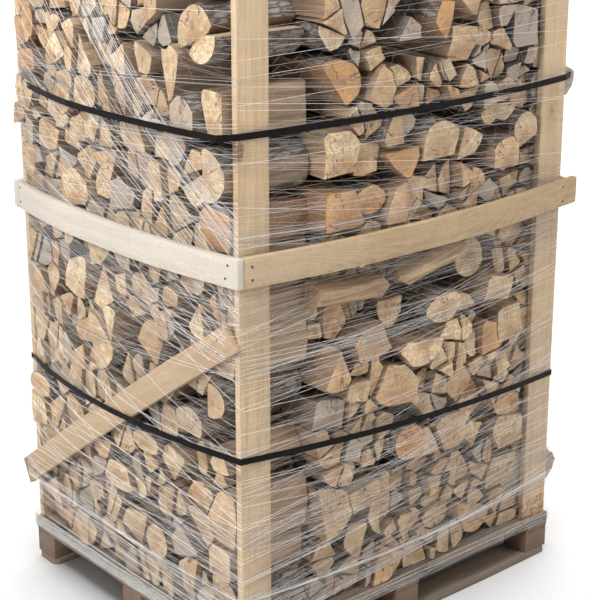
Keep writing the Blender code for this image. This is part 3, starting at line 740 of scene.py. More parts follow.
def make_bark():
    material, tree, shader = start_material("log bark", 0.15)
    grain = put(tree, "Attribute", {"attribute_name": "grain"}, {}).outputs["Vector"]
    furrows = scaled(tree, grain, (1.0, 1.0, 0.28))
    ridge = noise_at(tree, furrows, 95.0, 4.0, 0.65)
    patch = noise_at(tree, grain, 14.0, 3.0, 0.6)
    plate = put(tree, "TexVoronoi", {"feature": "DISTANCE_TO_EDGE"}, {"Vector": furrows, "Scale": 60.0})
    crack = span(tree, plate.outputs["Distance"], 0.02, 0.16, 1.0, 0.0)
    colour = tint(tree, span(tree, ridge, 0.35, 0.65), (0.110, 0.094, 0.081), (0.268, 0.236, 0.209))
    colour = tint(tree, span(tree, patch, 0.50, 0.66, 0.0, 0.75), colour, (0.300, 0.285, 0.270))
    colour = tint(tree, span(tree, patch, 0.36, 0.46, 0.6, 0.0), colour, (0.130, 0.075, 0.045))
    colour = tint(tree, calc(tree, "MULTIPLY", crack, 0.6), colour, (0.030, 0.022, 0.018))
    rough = calc(tree, "MULTIPLY_ADD", ridge, 0.2, 0.75)
    height = calc(tree, "SUBTRACT", ridge, calc(tree, "MULTIPLY", crack, 0.5))
    finish_material(tree, shader, colour, rough, height, 0.0040, 0.9)
    return material


END_GRAIN = make_end_grain()
split_wood = make_split_wood(
    "split log face", (0.580, 0.420, 0.270), (0.290, 0.195, 0.120), (0.330, 0.160, 0.075)
)
sawn_end = make_sawn_end()
bark = make_bark()
forms = {kind: make_form(f"{kind} log", cuts) for kind, cuts in LOG_FORMS.items()}

COMMON_KINDS = (
    "half", "quarter", "quarter", "wedge", "wedge", "kite", "kite", "block", "block",
    "shard", "arch", "round", "half",
)


def chance_log(outline, rng, grown, painted_light):
    """Kind, turn, size and finish of a log that no photo mark tells apart."""
    kind = rng.choice(COMMON_KINDS)
    roll = fitting_roll(kind, outline, rng) + rng.uniform(-14, 14)
    width, height = size_of(outline)
    # Painted light: the tone is raised by the painted light given, so that a low log looks more
    # brightly lit.
    tone = min(1.0, max(0.0, rng.gauss(0.55, 0.34) + painted_light))
    warmth = max(0.0, rng.gauss(0.10, 0.28))
    greyness = rng.uniform(0.5, 1.0) if rng.random() < 0.16 else max(0.0, rng.gauss(0.03, 0.1))
    return kind, roll, (width * grown, height * grown), (tone, warmth, greyness)


def stack_up(name, ends, marks, length, back, upright, rng, edges, hidden_to=-9.0, painted_light=0.0):
    """Lays one log in each marked outline, and two or three small ones in most others.

    Past the edges, where the logs' flanks show, most lie with their bark outwards.
    A few places between stay empty. Painted light: the lower logs are painted paler by the share given,
    standing in for stronger light low on the side.
    Logs left of hidden_to are deep inside the load, stay whole and lie close together.
    """
    hole_rng = random.Random(len(ends))
    logs = []
    marked = {}
    for mark in marks:
        spot = Vector(mark[:2])
        nearest = min(range(len(ends)), key=lambda n: (middle_of(ends[n][0]) - spot).length)
        if (middle_of(ends[nearest][0]) - spot).length < MARK_REACH:
            marked.setdefault(nearest, mark)
    places = []
    for number, (outline, reach) in enumerate(ends):
        waiting = [outline]
        while waiting:
            part = waiting.pop()
            width, height = size_of(part)
            small = max(width, height) < rng.uniform(*SPLIT_SIZES) or min(width, height) < THINNEST
            hidden = middle_of(part).x < hidden_to
            if number in marked or hidden or small:
                places.append((part, reach, marked.get(number)))
            else:
                waiting += halve(part, upright, rng)
    for outline, reach, mark in places:
        place = middle_of(outline).x
        hidden = place < hidden_to
        at_edge = place < edges[0] or place > edges[1]
        grown = HIDDEN_GROWTH
        if not hidden:
            grown = rng.uniform(*(EDGE_GROWTH if at_edge else OTHER_GROWTH))
        # Painted light: a log below 1 m is painted paler by its share of the painted light given, the
        # more the lower it lies.
        low = max(0.0, 1.0 - middle_of(outline).y)
        kind, roll, size, finish = chance_log(outline, rng, grown, painted_light * low)
        if at_edge and rng.random() < BARK_OUT_SHARE:
            kind = "half"
            roll = math.copysign(90, -place) + rng.uniform(-10, 10)
        if mark:
            _, _, kind, roll, width, height, *finish = mark
            size = (width * MARK_GROWTH, height * MARK_GROWTH)
        else:
            reach -= rng.triangular(0, SET_BACK, 0)
        start = rng.uniform(0, 60)
        deep = min(length * rng.uniform(0.985, 1.0), reach - back)
        gap = CELL_GAPS[0] if hidden else rng.uniform(*CELL_GAPS)
        if at_edge:
            gap = CELL_GAPS[0]
        hole = hole_rng.random() < HOLE_SHARE and max(size_of(outline)) < HOLE_SIZE
        if mark or hidden or at_edge or not hole:
            logs.append(
                place_log(forms[kind], outline, reach, deep, roll, size, finish, start, gap)
            )
    farthest = max(reach for _, reach in ends)
    stations = [back + (farthest - back) * share for share in CUT_SHARES]
    return join_logs(logs, name, stations)


# Marked logs: across, up, kind, turn, width, height, then tone, warmth and greyness.
# A turn of 0 has the bark on top, 90 has it on the left.
LEFT_MARKS = (
    (0.276, 1.611, "wedge", 0, 0.082, 0.182, 0.65, 0.0, 0.0),
    (0.430, 1.655, "half", 180, 0.120, 0.070, 0.90, 0.0, 0.0),
    (0.430, 1.600, "block", 0, 0.100, 0.060, 0.90, 0.0, 0.6),
    (0.430, 1.400, "half", -90, 0.100, 0.140, 0.50, 0.0, 0.4),
    (0.430, 0.950, "block", 0, 0.130, 0.120, 1.00, 0.1, 0.0),
    (0.430, 0.860, "block", 4, 0.130, 0.090, 1.00, 0.1, 0.0),
    (0.430, 0.700, "half", -90, 0.100, 0.120, 0.60, 0.1, 0.3),
    (0.430, 0.550, "half", -92, 0.100, 0.120, 0.50, 0.0, 0.8),
    (0.430, 0.280, "half", -88, 0.100, 0.100, 0.60, 0.0, 0.3),
    (0.345, 1.520, "arch", 0, 0.090, 0.100, 0.30, 0.0, 0.75),
    (0.430, 1.545, "block", 4, 0.078, 0.113, 0.55, 0.0, 0.1),
    (0.335, 1.725, "half", 20, 0.137, 0.118, 0.55, 0.1, 0.0),
    (0.430, 1.725, "round", 0, 0.090, 0.105, 0.60, 0.2, 0.0),
    (-0.217, 1.597, "kite", -20, 0.114, 0.120, 0.90, 0.0, 0.0),
    (0.072, 1.615, "wedge", 155, 0.080, 0.080, 1.00, 0.0, 0.0),
    (-0.370, 1.540, "block", 8, 0.085, 0.060, 0.40, 0.9, 0.0),
    (0.415, 1.250, "block", 0, 0.118, 0.102, 0.45, 0.8, 0.0),
    (-0.163, 1.245, "block", 12, 0.134, 0.112, 0.60, 0.1, 0.0),
    (-0.197, 1.000, "kite", 35, 0.118, 0.146, 0.85, 0.0, 0.0),
    (-0.040, 0.980, "wedge", 180, 0.106, 0.134, 0.85, 0.1, 0.0),
    (-0.067, 0.820, "half", -78, 0.124, 0.159, 0.70, 0.0, 0.0),
    (0.036, 0.870, "wedge", 4, 0.060, 0.105, 0.95, 0.0, 0.0),
    (0.152, 0.882, "quarter", 20, 0.127, 0.129, 0.45, 0.4, 0.0),
    (0.335, 0.990, "wedge", 165, 0.066, 0.100, 1.00, 0.0, 0.0),
    (-0.400, 0.600, "round", 0, 0.110, 0.072, 0.55, 0.35, 0.0),
    (-0.362, 0.567, "round", 0, 0.120, 0.065, 0.45, 0.35, 0.0),
    (-0.233, 0.554, "kite", -48, 0.123, 0.112, 0.60, 0.1, 0.0),
    (0.314, 0.759, "arch", 0, 0.105, 0.072, 0.50, 0.0, 0.45),
    (0.305, 0.710, "block", 0, 0.100, 0.066, 0.45, 1.0, 0.0),
    (0.420, 0.797, "half", -90, 0.072, 0.095, 0.55, 0.2, 0.0),
    (0.228, 0.553, "kite", 10, 0.112, 0.093, 0.75, 0.0, 0.0),
    (0.415, 0.640, "wedge", 178, 0.085, 0.080, 0.65, 0.1, 0.0),
    (-0.014, 0.447, "round", 0, 0.164, 0.082, 0.80, 0.0, 0.0),
    (0.011, 0.298, "kite", 30, 0.124, 0.096, 0.60, 0.0, 0.0),
    (0.165, 0.317, "round", 0, 0.098, 0.100, 0.65, 0.1, 0.0),
    (0.405, 0.465, "block", -4, 0.135, 0.157, 0.95, 0.3, 0.0),
    (0.430, 0.356, "block", 0, 0.085, 0.085, 0.85, 0.0, 0.0),
    (0.123, 0.527, "block", 10, 0.095, 0.075, 0.60, 0.0, 0.0),
    (0.107, 0.574, "round", 0, 0.118, 0.060, 0.65, 0.2, 0.0),
    (0.306, 0.367, "block", 5, 0.141, 0.085, 0.40, 0.0, 0.8),
)
LEFT_UPRIGHT = 0.72
LEFT_EDGES = (-0.405, 0.405)
# Painted light: how much paler the lowest logs of the left side are painted, standing in for stronger
# light low on that side.
LOWER_PAINTED_LIGHT = 0.70
# Where logs stick out past the others: across, up, how far round it, how far out.
LEFT_BULGES = ((-0.44, 0.53, 0.15, 0.050), (-0.46, 0.95, 0.20, 0.022))
left_back = -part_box("logs_left_stack")[1].x
left_ends = []
for outline, reach in read_ends("logs_left_stack", -X_AXIS, -Y_AXIS):
    for across, up, spread, out in LEFT_BULGES:
        away = (middle_of(outline) - Vector((across, up))).length
        reach += out * max(0.0, 1.0 - away / spread)
    left_ends.append((outline, reach))
left_stack = stack_up(
    "left_stack_logs", left_ends, LEFT_MARKS, LOG_LENGTH, left_back, LEFT_UPRIGHT,
    random.Random(41), LEFT_EDGES, painted_light=LOWER_PAINTED_LIGHT,
)
wear_logs(left_stack)
stand_stack(left_stack, -Y_AXIS, -X_AXIS, "logs_left_stack")

# Logs along Y: four rows, one behind the other. The first shows its sawn ends on the
# long side, the last on the far side, and all four show their flanks on the short
# right side.
FRONT_MARKS = (
    (-0.262, 1.583, "half", -62, 0.136, 0.120, 0.60, 0.9, 0.0),
    (-0.366, 1.544, "round", 0, 0.070, 0.070, 0.50, 0.2, 0.0),
    (-0.085, 1.700, "shard", 0, 0.227, 0.075, 0.40, 0.0, 0.9),
    (-0.043, 1.661, "block", 12, 0.070, 0.085, 1.00, 0.0, 0.0),
    (0.047, 1.663, "kite", 20, 0.070, 0.095, 0.50, 0.9, 0.0),
    (0.150, 1.625, "block", -6, 0.160, 0.100, 0.55, 0.1, 0.0),
    (0.185, 1.706, "wedge", 10, 0.105, 0.090, 0.65, 0.1, 0.0),
    (0.410, 1.637, "block", 0, 0.095, 0.112, 0.00, 0.0, 1.0),
    (-0.270, 1.394, "block", 2, 0.120, 0.112, 0.60, 0.0, 0.0),
    (-0.105, 1.347, "shard", 180, 0.139, 0.078, 0.20, 0.9, 0.0),
    (0.003, 1.354, "wedge", 0, 0.072, 0.085, 0.80, 0.0, 0.0),
    (0.045, 1.400, "arch", 0, 0.127, 0.100, 0.55, 0.0, 0.0),
    (0.190, 1.352, "kite", -150, 0.096, 0.085, 1.00, 0.0, 0.0),
    (0.309, 1.326, "arch", 0, 0.096, 0.082, 0.75, 0.4, 0.0),
    (-0.285, 1.240, "block", 0, 0.153, 0.098, 0.40, 0.8, 0.0),
    (-0.200, 1.260, "round", 0, 0.104, 0.075, 0.40, 0.7, 0.0),
    (0.230, 1.022, "round", 0, 0.106, 0.115, 0.90, 0.0, 0.0),
    (0.323, 0.919, "block", -12, 0.114, 0.080, 0.65, 0.0, 0.0),
    (0.067, 0.916, "round", 0, 0.136, 0.084, 0.65, 0.1, 0.0),
    (-0.064, 0.930, "half", 180, 0.092, 0.082, 0.60, 0.1, 0.0),
    (0.000, 0.828, "half", 172, 0.164, 0.078, 0.75, 0.1, 0.0),
    (-0.091, 0.735, "block", -8, 0.200, 0.129, 0.55, 0.3, 0.0),
    (-0.290, 0.839, "wedge", 180, 0.090, 0.112, 0.60, 0.5, 0.0),
    (-0.199, 0.880, "round", 0, 0.150, 0.110, 0.00, 0.5, 0.5),
    (0.390, 0.799, "block", 6, 0.100, 0.108, 0.55, 0.0, 0.0),
    (-0.035, 0.558, "round", 0, 0.110, 0.106, 0.40, 0.9, 0.0),
    (0.139, 0.538, "round", 0, 0.163, 0.110, 0.50, 0.1, 0.0),
    (0.400, 0.450, "block", 3, 0.125, 0.100, 0.60, 0.0, 0.0),
    (0.400, 0.350, "block", -3, 0.133, 0.095, 0.65, 0.0, 0.0),
    (-0.285, 0.408, "half", -82, 0.120, 0.154, 0.65, 0.1, 0.0),
    (-0.180, 0.427, "block", 14, 0.136, 0.072, 0.90, 0.0, 0.0),
    (-0.238, 0.492, "quarter", 60, 0.085, 0.085, 0.85, 0.0, 0.0),
    (-0.218, 0.291, "kite", 20, 0.095, 0.107, 0.65, 0.0, 0.0),
    (0.291, 0.185, "round", 0, 0.112, 0.090, 0.70, 0.6, 0.0),
    (0.274, 0.514, "kite", 10, 0.085, 0.082, 0.75, 0.0, 0.0),
    (0.566, 1.464, "round", 0, 0.200, 0.120, 0.10, 0.0, 1.0),
    (0.537, 0.277, "round", 0, 0.262, 0.150, 0.10, 0.0, 1.0),
)
# How far the load has swelled out on the right side at each height.
SWELL_AT = (0.13, 0.65, 1.15, 1.48, 1.80)
SWELL_BY = (0.000, 0.044, 0.022, 0.066, 0.040)
# Two round logs that stick out sideways past the right post: up, and how far out.
BARK_LUMPS = ((1.464, 0.070), (0.277, 0.072))
ROW_GAP = 0.0015
ROW_UNEVEN = 0.006
SPLIT_UPRIGHT = 0.9
# Only the flanks at a row's right end show, so its left edge lies far out of reach.
FLANK_EDGES = (-9.0, 0.50)
# Left of this the logs of an inner row are hidden.
HIDDEN_UP_TO = 0.40


def lean_out(outline, low_x, high_x):
    """Moves a row's outline out on the right side, where the load has bulged."""
    moved = []
    for corner in outline:
        share = (corner.x - low_x) / (high_x - low_x)
        out = np.interp(corner.y, SWELL_AT, SWELL_BY)
        moved.append(Vector((corner.x + out * share, corner.y)))
    return moved


def stick_out(outline, out):
    """Makes a log's outline an oval that reaches out farther on the right."""
    middle = middle_of(outline)
    width, height = size_of(outline)
    turns = [math.radians(360 / LOG_SIDES * step) for step in range(LOG_SIDES)]
    outline[:] = [
        Vector((
            middle.x + out / 2 + (width + out) / 2 * math.cos(turn),
            middle.y + height / 2 * math.sin(turn),
        )) for turn in turns
    ]


front_low, front_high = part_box("logs_front_row")
front_ends = read_ends("logs_front_row", -Y_AXIS, X_AXIS)
for outline, _ in front_ends:
    middle = middle_of(outline)
    at_post = middle.x + size_of(outline)[0] / 2 > front_high.x - 0.001
    for up, out in BARK_LUMPS:
        if at_post and abs(middle.y - up) < 0.01:
            stick_out(outline, out)
back_ends = read_ends("logs_back_row", Y_AXIS, -X_AXIS)
row_back = -front_high.y
row_rng = random.Random(23)
front_row = stack_up(
    "front_row_logs", front_ends, FRONT_MARKS, LOG_LENGTH, row_back, SPLIT_UPRIGHT,
    row_rng, FLANK_EDGES,
)
back_row = stack_up(
    "back_row_logs", back_ends, (), LOG_LENGTH, row_back, SPLIT_UPRIGHT,
    row_rng, (-FLANK_EDGES[1], -FLANK_EDGES[0]),
)
inner_rows = []
for name, outer in (("second_row_logs", row_back), ("third_row_logs", 0.0)):
    ends = []
    for outline, _ in back_ends:
        mirrored = [Vector((-corner.x, corner.y)) for corner in reversed(outline)]
        reach = outer - ROW_GAP - row_rng.uniform(0, ROW_UNEVEN)
        ends.append((lean_out(mirrored, front_low.x, front_high.x), reach))
    back = outer - row_back + ROW_GAP
    inner_rows.append(stack_up(
        name, ends, (), LOG_LENGTH, back, SPLIT_UPRIGHT, row_rng, FLANK_EDGES, HIDDEN_UP_TO
    ))
for stack in (front_row, back_row, *inner_rows):
    wear_logs(stack)
stand_stack(front_row, X_AXIS, -Y_AXIS, "logs_front_row")
stand_stack(inner_rows[0], X_AXIS, -Y_AXIS, "logs_second_row")
stand_stack(inner_rows[1], X_AXIS, -Y_AXIS, "logs_third_row")
stand_stack(back_row, -X_AXIS, Y_AXIS, "logs_back_row")
for form in forms.values():
    bpy.data.objects.remove(form)

# Single logs: two that lie across the long side under the middle rail, and fifteen
# that were thrown on top. They are split from the same wood.
SINGLE_LOG_CUT = 0.045
ARC_FACE = 0.030
BAR_RADIUS = 0.08


def lay_finish(piece, finish, radius):
    """Stores a log's tone, warmth and greyness, and the radius of the round it is from."""
    look = piece.data.attributes.new("finish", "FLOAT_COLOR", "POINT")
    for item in look.data:
        item.color = (*finish, radius)


def dress_single_log(node, rng, finish):
    """A log by itself: split faces where the solid is flat and broad, else bark."""
    low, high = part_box(node)
    size = high - low
    along = X_AXIS if size.x > size.y else Y_AXIS
    across = Z_AXIS.cross(along)
    log = copy_solid(node, node + "_wood")
    middle = (low + high) / 2
    pith = (middle.dot(across), low.z + 0.15 * size.z)
    lay_grain(log, along, across, pith, rng.uniform(0, 60))
    lay_finish(log, finish, 0.85 * size.z)
    for face in log.data.polygons:
        if abs(face.normal.dot(along)) > 0.8:
            face.material_index = 1
        else:
            breadth = face.area / (size.dot(along))
            face.material_index = 2 if breadth < ARC_FACE else 0
    for material in (split_wood, sawn_end, bark):
        log.data.materials.append(material)
    cut_along(log, along, SINGLE_LOG_CUT)
    cut_along(log, across, 0.02)
    bevel_edges(log, 0.003, 1)
    roughen(log, along, 0.0060, 0.035, 4.0)
    bpy.ops.object.shade_smooth_by_angle(angle=math.radians(30))
    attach(log, "root")
    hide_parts(node)


def split_bar(node, tilt, cuts, finish, rng):
    """A flat bar split off a log, trimmed by slanting cuts to its torn, pointed ends.

    Each cut is a spot, as shares of the bar's half size, and the way it faces.
    """
    low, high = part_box(node)
    middle = (low + high) / 2
    half = (high - low) / 2
    bar = copy_solid(node, node + "_wood")
    for spot, facing in cuts:
        edit(bar)
        bpy.ops.mesh.bisect(
            plane_co=middle + Vector(spot) * half, plane_no=facing,
            use_fill=True, clear_outer=True,
        )
        done()
    along = Vector((math.cos(tilt), 0, math.sin(tilt)))
    across = Vector((-math.sin(tilt), 0, math.cos(tilt)))
    lay_grain(bar, along, across, (middle.dot(across) - 0.05, middle.y), rng.uniform(0, 60))
    lay_finish(bar, finish, BAR_RADIUS)
    cut_along(bar, along, 0.018)
    cut_along(bar, across, 0.014)
    bevel_edges(bar, 0.0010, 1)
    roughen(bar, X_AXIS, 0.0055, 0.020, 5.0)
    bar.data.materials.append(pale_split_wood)
    bpy.ops.object.shade_smooth_by_angle(angle=math.radians(30))
    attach(bar, "root")
    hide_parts(node)


single_rng = random.Random(6)
pale_split_wood = make_split_wood(
    "pale split log face", (0.700, 0.520, 0.330), (0.400, 0.265, 0.160), (0.450, 0.240, 0.110)
)
LEFT_TILT, RIGHT_TILT = -0.085, 0.245
LEFT_BAR_CUTS = (
    ((0.0, -0.55, 0.0), (0.06, -0.94, -0.20)),
    ((0.72, 0, 0.4), (0.55, -0.10, 0.80)),
    ((0.90, 0, -0.4), (0.75, 0.0, -0.60)),
    ((-0.92, 0, 0.0), (-0.95, -0.20, 0.10)),
)
RIGHT_BAR_CUTS = (
    ((0.0, -0.60, 0.0), (-0.05, -0.92, -0.30)),
    ((-0.70, 0, -0.5), (-0.45, 0.0, -0.85)),
    ((-0.85, 0, 0.0), (-0.90, -0.10, 0.35)),
    ((0.80, 0, 0.9), (0.45, 0.0, 0.85)),
)
split_bar("across_log_left", LEFT_TILT, LEFT_BAR_CUTS, (0.30, 0.15, 0.0), single_rng)
split_bar("across_log_right", RIGHT_TILT, RIGHT_BAR_CUTS, (0.90, 0.0, 0.0), single_rng)
for number in range(1, 16):
    finish = (single_rng.uniform(0.2, 0.9), max(0.0, single_rng.gauss(0.1, 0.25)), 0.0)
    dress_single_log(f"loose_log_{number:02d}", single_rng, finish)

# Net: a fine knitted net of white polyethylene, wound round the load in overlapping
# passes and pulled so tight that its threads run straight from one proud log to the
# next. It lies over posts and logs, partly over the brace, and under rails and straps.
NET_GRID = 0.012
NET_LIFT = 0.0007
PILLAR_THICK = 0.00066
BRIGHT_THICK = 0.00080
BRIGHT_SHARE = 0.30
LACE_THICK = 0.00042
LACE_PITCH = 0.034
THREAD_STEPS = 36
NET_LOW, NET_HIGH = 0.150, 1.860
RAY_START = 0.9
RAY_LENGTH = 0.6
LOAD_BEHIND = 0.02
post_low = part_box("post_front_left")[0]
corner_x, corner_y = -post_low.x, -post_low.y
# Each side: the way it faces, the way its threads run, its half width, its plane.
NET_SIDES = {
    "left": (-X_AXIS, -Y_AXIS, corner_y, corner_x),
    "front": (-Y_AXIS, X_AXIS, corner_x, corner_y),
    "right": (X_AXIS, Y_AXIS, corner_y, corner_x),
    "back": (Y_AXIS, -X_AXIS, corner_x, corner_y),
}


def feel_side(load, outward, right, half, plane):
    """How far the load reaches out at each spot of a grid on one side."""
    across = np.linspace(-half, half, round(2 * half / NET_GRID))
    up = np.linspace(NET_LOW - 0.02, NET_HIGH + 0.02, round((NET_HIGH - NET_LOW) / NET_GRID))
    reach = np.full((len(up), len(across)), plane - LOAD_BEHIND)
    for row, z in enumerate(up):
        for column, u in enumerate(across):
            start = outward * RAY_START + right * u + Z_AXIS * z
            spot = load.ray_cast(start, -outward, RAY_LENGTH)[0]
            if spot is not None:
                reach[row, column] = spot.dot(outward)
    return across, up, reach


def pulled_tight(places, reach):
    """The straight stretches of a string that is pulled over a row of high spots."""
    kept = []
    for number in range(len(places)):
        while len(kept) > 1:
            a, b = kept[-2:]
            rise = (reach[b] - reach[a]) * (places[number] - places[a])
            if rise > (reach[number] - reach[a]) * (places[b] - places[a]):
                break
            kept.pop()
        kept.append(number)
    return kept


class Thread:
    """One thread over one side of the load, from corner post to corner post."""

    def __init__(self, side, start, end, sag, felt):
        outward, right, half, plane = NET_SIDES[side]
        across, up, reach = felt[side]
        self.outward, self.right = outward, right
        self.places = np.linspace(-half, half, THREAD_STEPS)
        share = np.linspace(0, 1, THREAD_STEPS)
        self.heights = start + (end - start) * share - 4 * sag * share * (1 - share)
        rows = (self.heights - up[0]) / (up[1] - up[0])
        columns = (self.places - across[0]) / (across[1] - across[0])
        low_row = np.clip(rows.astype(int), 0, len(up) - 2)
        low_column = np.clip(columns.astype(int), 0, len(across) - 2)
        touch = np.maximum.reduce([
            reach[low_row + a, low_column + b] for a in (0, 1) for b in (0, 1)
        ])
        on_load = (self.heights > up[0]) & (self.heights < up[-1])
        touch = np.where(on_load, touch, plane - LOAD_BEHIND)
        touch[0] = touch[-1] = plane
        self.kept = pulled_tight(self.places, touch)
        self.reach = np.interp(
            self.places, self.places[self.kept], touch[self.kept]
        ) + NET_LIFT

    def spot(self, place):
        """The thread's point at a place across the side."""
        height = np.interp(place, self.places, self.heights)
        reach = np.interp(place, self.places, self.reach)
        return self.outward * reach + self.right * place + Z_AXIS * height

    def line(self):
        numbers = sorted(set(self.kept) | set(range(0, THREAD_STEPS, 5)) | {THREAD_STEPS - 1})
        return [self.spot(self.places[number]) for number in numbers]


def lace(first, second, shift, rng):
    """The fine thread that goes to and fro between two of the net's long threads."""
    half = first.places[-1]
    spots = []
    place = -half + shift
    turn = 0
    while place < half:
        thread = (first, second)[turn % 2]
        spots.append(thread.spot(place))
        place += LACE_PITCH * rng.uniform(0.75, 1.25)
        turn += 1
    return spots


def draw_threads(name, lines, thick, yarn):
    """Threads of one thickness as three-sided strings, made from poly curves."""
    bpy.ops.object.select_all(action="DESELECT")
    outline = bpy.data.curves.new(name + " outline", "CURVE")
    ring = outline.splines.new("POLY")
    ring.points.add(2)
    ring.use_cyclic_u = True
    for number, point in enumerate(ring.points):
        turn = number * math.tau / 3
        point.co = (math.cos(turn) * thick / 2, math.sin(turn) * thick / 2, 0, 1)
    outline_piece = bpy.data.objects.new(name + " outline", outline)
    curve = bpy.data.curves.new(name, "CURVE")
    curve.dimensions = "3D"
    for line in lines:
        spline = curve.splines.new("POLY")
        spline.points.add(len(line) - 1)
        spline.points.foreach_set("co", [part for spot in line for part in (*spot, 1.0)])
    curve.bevel_mode = "OBJECT"
    curve.bevel_object = outline_piece
    curve.use_fill_caps = True
    piece = bpy.data.objects.new(name, curve)
    for thing in (outline_piece, piece):
        bpy.context.scene.collection.objects.link(thing)
    only(piece)
    bpy.ops.object.convert(target="MESH")
    bpy.data.objects.remove(outline_piece)
    piece = bpy.context.object
    piece.data.materials.append(yarn)
    return piece


def finish_net(piece):
    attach(piece, "root")


def make_yarn(name, dull, bright):
    material, tree, shader = start_material(name, 0.4)
    place = put(tree, "TexCoord", {}, {}).outputs["Object"]
    twist = noise_at(tree, place, 900.0, 2.0)
    rough = calc(tree, "MULTIPLY_ADD", twist, 0.2, 0.35)
    finish_material(tree, shader, tint(tree, twist, dull, bright), rough, twist, 0.0002)
    return material


thin_yarn = make_yarn("thin net yarn", (0.43, 0.39, 0.355), (0.58, 0.545, 0.515))
white_yarn = make_yarn("white net yarn", (0.84, 0.83, 0.84), (0.95, 0.95, 0.95))
load_points = []
load_faces = []


def feel_load(*solids):
    """Adds solids to the load and feels how far it then reaches out on each side."""
    for solid in solids:
        first = len(load_points)
        load_points.extend(vert.co.copy() for vert in solid.data.vertices)
        load_faces.extend([first + n for n in face.vertices] for face in solid.data.polygons)
    load = BVHTree.FromPolygons(load_points, load_faces)
    return {side: feel_side(load, *plan) for side, plan in NET_SIDES.items()}


posts = [
    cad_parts[f"post_{side}_{end}"] for side in ("front", "back") for end in ("left", "right")
]
UNDER_BRACE = feel_load(left_stack, front_row, back_row, *inner_rows, *posts)
OVER_BRACE = feel_load(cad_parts["brace"])

# Each pass: the height of its middle at the five corners from the back left one round
# to it again, its width at each of them, its number of long threads, and whether fine
# threads go to and fro between them.
NET_PASSES = (
    ((0.21, 0.20, 0.20, 0.22, 0.21), (0.12, 0.10, 0.10, 0.12, 0.12), 12, True),
    ((0.30, 0.27, 0.40, 0.32, 0.30), (0.34, 0.36, 0.30, 0.34, 0.34), 36, True),
    ((0.50, 0.34, 0.52, 0.50, 0.50), (0.50, 0.40, 0.56, 0.50, 0.50), 40, True),
    ((0.62, 0.66, 0.60, 0.66, 0.62), (0.54, 0.50, 0.60, 0.52, 0.54), 40, False),
    ((0.98, 0.78, 0.92, 0.84, 0.86), (0.56, 0.46, 0.62, 0.52, 0.54), 42, True),
    ((1.00, 1.02, 1.04, 1.00, 1.02), (0.40, 0.30, 0.24, 0.44, 0.46), 36, False),
    ((1.36, 1.10, 1.08, 1.16, 1.20), (0.56, 0.40, 0.40, 0.52, 0.52), 40, True),
    ((1.30, 1.38, 1.22, 1.34, 1.34), (0.50, 0.44, 0.50, 0.50, 0.50), 34, False),
    ((1.60, 1.48, 1.50, 1.50, 1.52), (0.50, 0.50, 0.56, 0.46, 0.48), 24, True),
    ((1.62, 1.68, 1.58, 1.64, 1.66), (0.36, 0.34, 0.40, 0.36, 0.36), 14, False),
)
net_rng = random.Random(17)
bright_rng = random.Random(18)
pillars = {side: [] for side in NET_SIDES}
bright_pillars = {side: [] for side in NET_SIDES}
laces = {side: [] for side in NET_SIDES}
for middles, widths, count, laced in NET_PASSES:
    steps = np.cumsum([0.25 + net_rng.expovariate(1.3) for _ in range(count)])
    places = (steps - steps[0]) / (steps[-1] - steps[0]) - 0.5
    for number, side in enumerate(("left", "front", "right", "back")):
        threads = []
        for place in places:
            bright = bright_rng.random() < BRIGHT_SHARE
            ends = []
            for corner in (number, number + 1):
                height = middles[corner] + place * widths[corner]
                ends.append(min(NET_HIGH, max(NET_LOW, height + net_rng.uniform(-0.003, 0.003))))
            felt = OVER_BRACE if bright else UNDER_BRACE
            threads.append(Thread(side, *ends, net_rng.uniform(0.0, 0.006), felt))
            (bright_pillars if bright else pillars)[side].append(threads[-1].line())
        if laced:
            for first, second in zip(threads, threads[1:]):
                shift = net_rng.uniform(0, LACE_PITCH)
                laces[side].append(lace(first, second, shift, net_rng))

# Steep strands on the short left side, where a pass was dragged down to the corner:
# where each bundle starts at the back post, where it ends at the front one, and its number.
LEFT_DRAGS = (
    ((2.04, 2.21), (1.16, 1.28), 16),
    ((1.82, 1.98), (1.02, 1.12), 7),
    ((1.45, 1.75), (0.78, 1.12), 6),
    ((1.15, 1.60), (0.98, 1.10), 5),
    ((0.70, 1.10), (0.30, 0.62), 5),
)
dragged = []
for high_ends, low_ends, count in LEFT_DRAGS:
    for number in range(count):
        share = (number + net_rng.uniform(-0.4, 0.4)) / (count - 1)
        start = high_ends[0] + share * (high_ends[1] - high_ends[0])
        end = low_ends[0] + share * (low_ends[1] - low_ends[0])
        thread = Thread("left", start, end, net_rng.uniform(0, 0.01), OVER_BRACE)
        line = [spot for spot in thread.line() if spot.z < NET_HIGH]
        if len(line) > 1:
            dragged.append(line)

# The gathered band of the net, low on the long side and thinner on the short one: its
# height at the start and at the end of the side, and how far it hangs between them.
GATHER = {"left": (0.300, 0.262, 0.0), "front": (0.262, 0.262, 0.028)}
STRAND_THICKER = {"left": 1.3, "front": 1.2}
GATHER_THREADS = {"left": 4, "front": 14}
gathered = {"left": dragged, "front": []}
for side, (start, end, sag) in GATHER.items():
    for _ in range(GATHER_THREADS[side]):
        drift = net_rng.gauss(0, 0.006), net_rng.gauss(0, 0.006)
        hang = sag + net_rng.gauss(0, 0.003)
        thread = Thread(side, start + drift[0], end + drift[1], hang, OVER_BRACE)
        gathered[side].append(thread.line())
for side in NET_SIDES:
    parts = [
        draw_threads(f"net_{side}_threads", pillars[side], PILLAR_THICK, thin_yarn),
        draw_threads(f"net_{side}_bright", bright_pillars[side], BRIGHT_THICK, white_yarn),
        draw_threads(f"net_{side}_laces", laces[side], LACE_THICK, thin_yarn),
    ]
    if side in gathered:
        parts.append(draw_threads(
            f"net_{side}_gather", gathered[side], PILLAR_THICK * STRAND_THICKER[side], white_yarn
        ))
    only(*parts)
    bpy.ops.object.join()
    net_piece = bpy.context.object
    net_piece.name = net_piece.data.name = f"net_{side}"
    finish_net(net_piece)

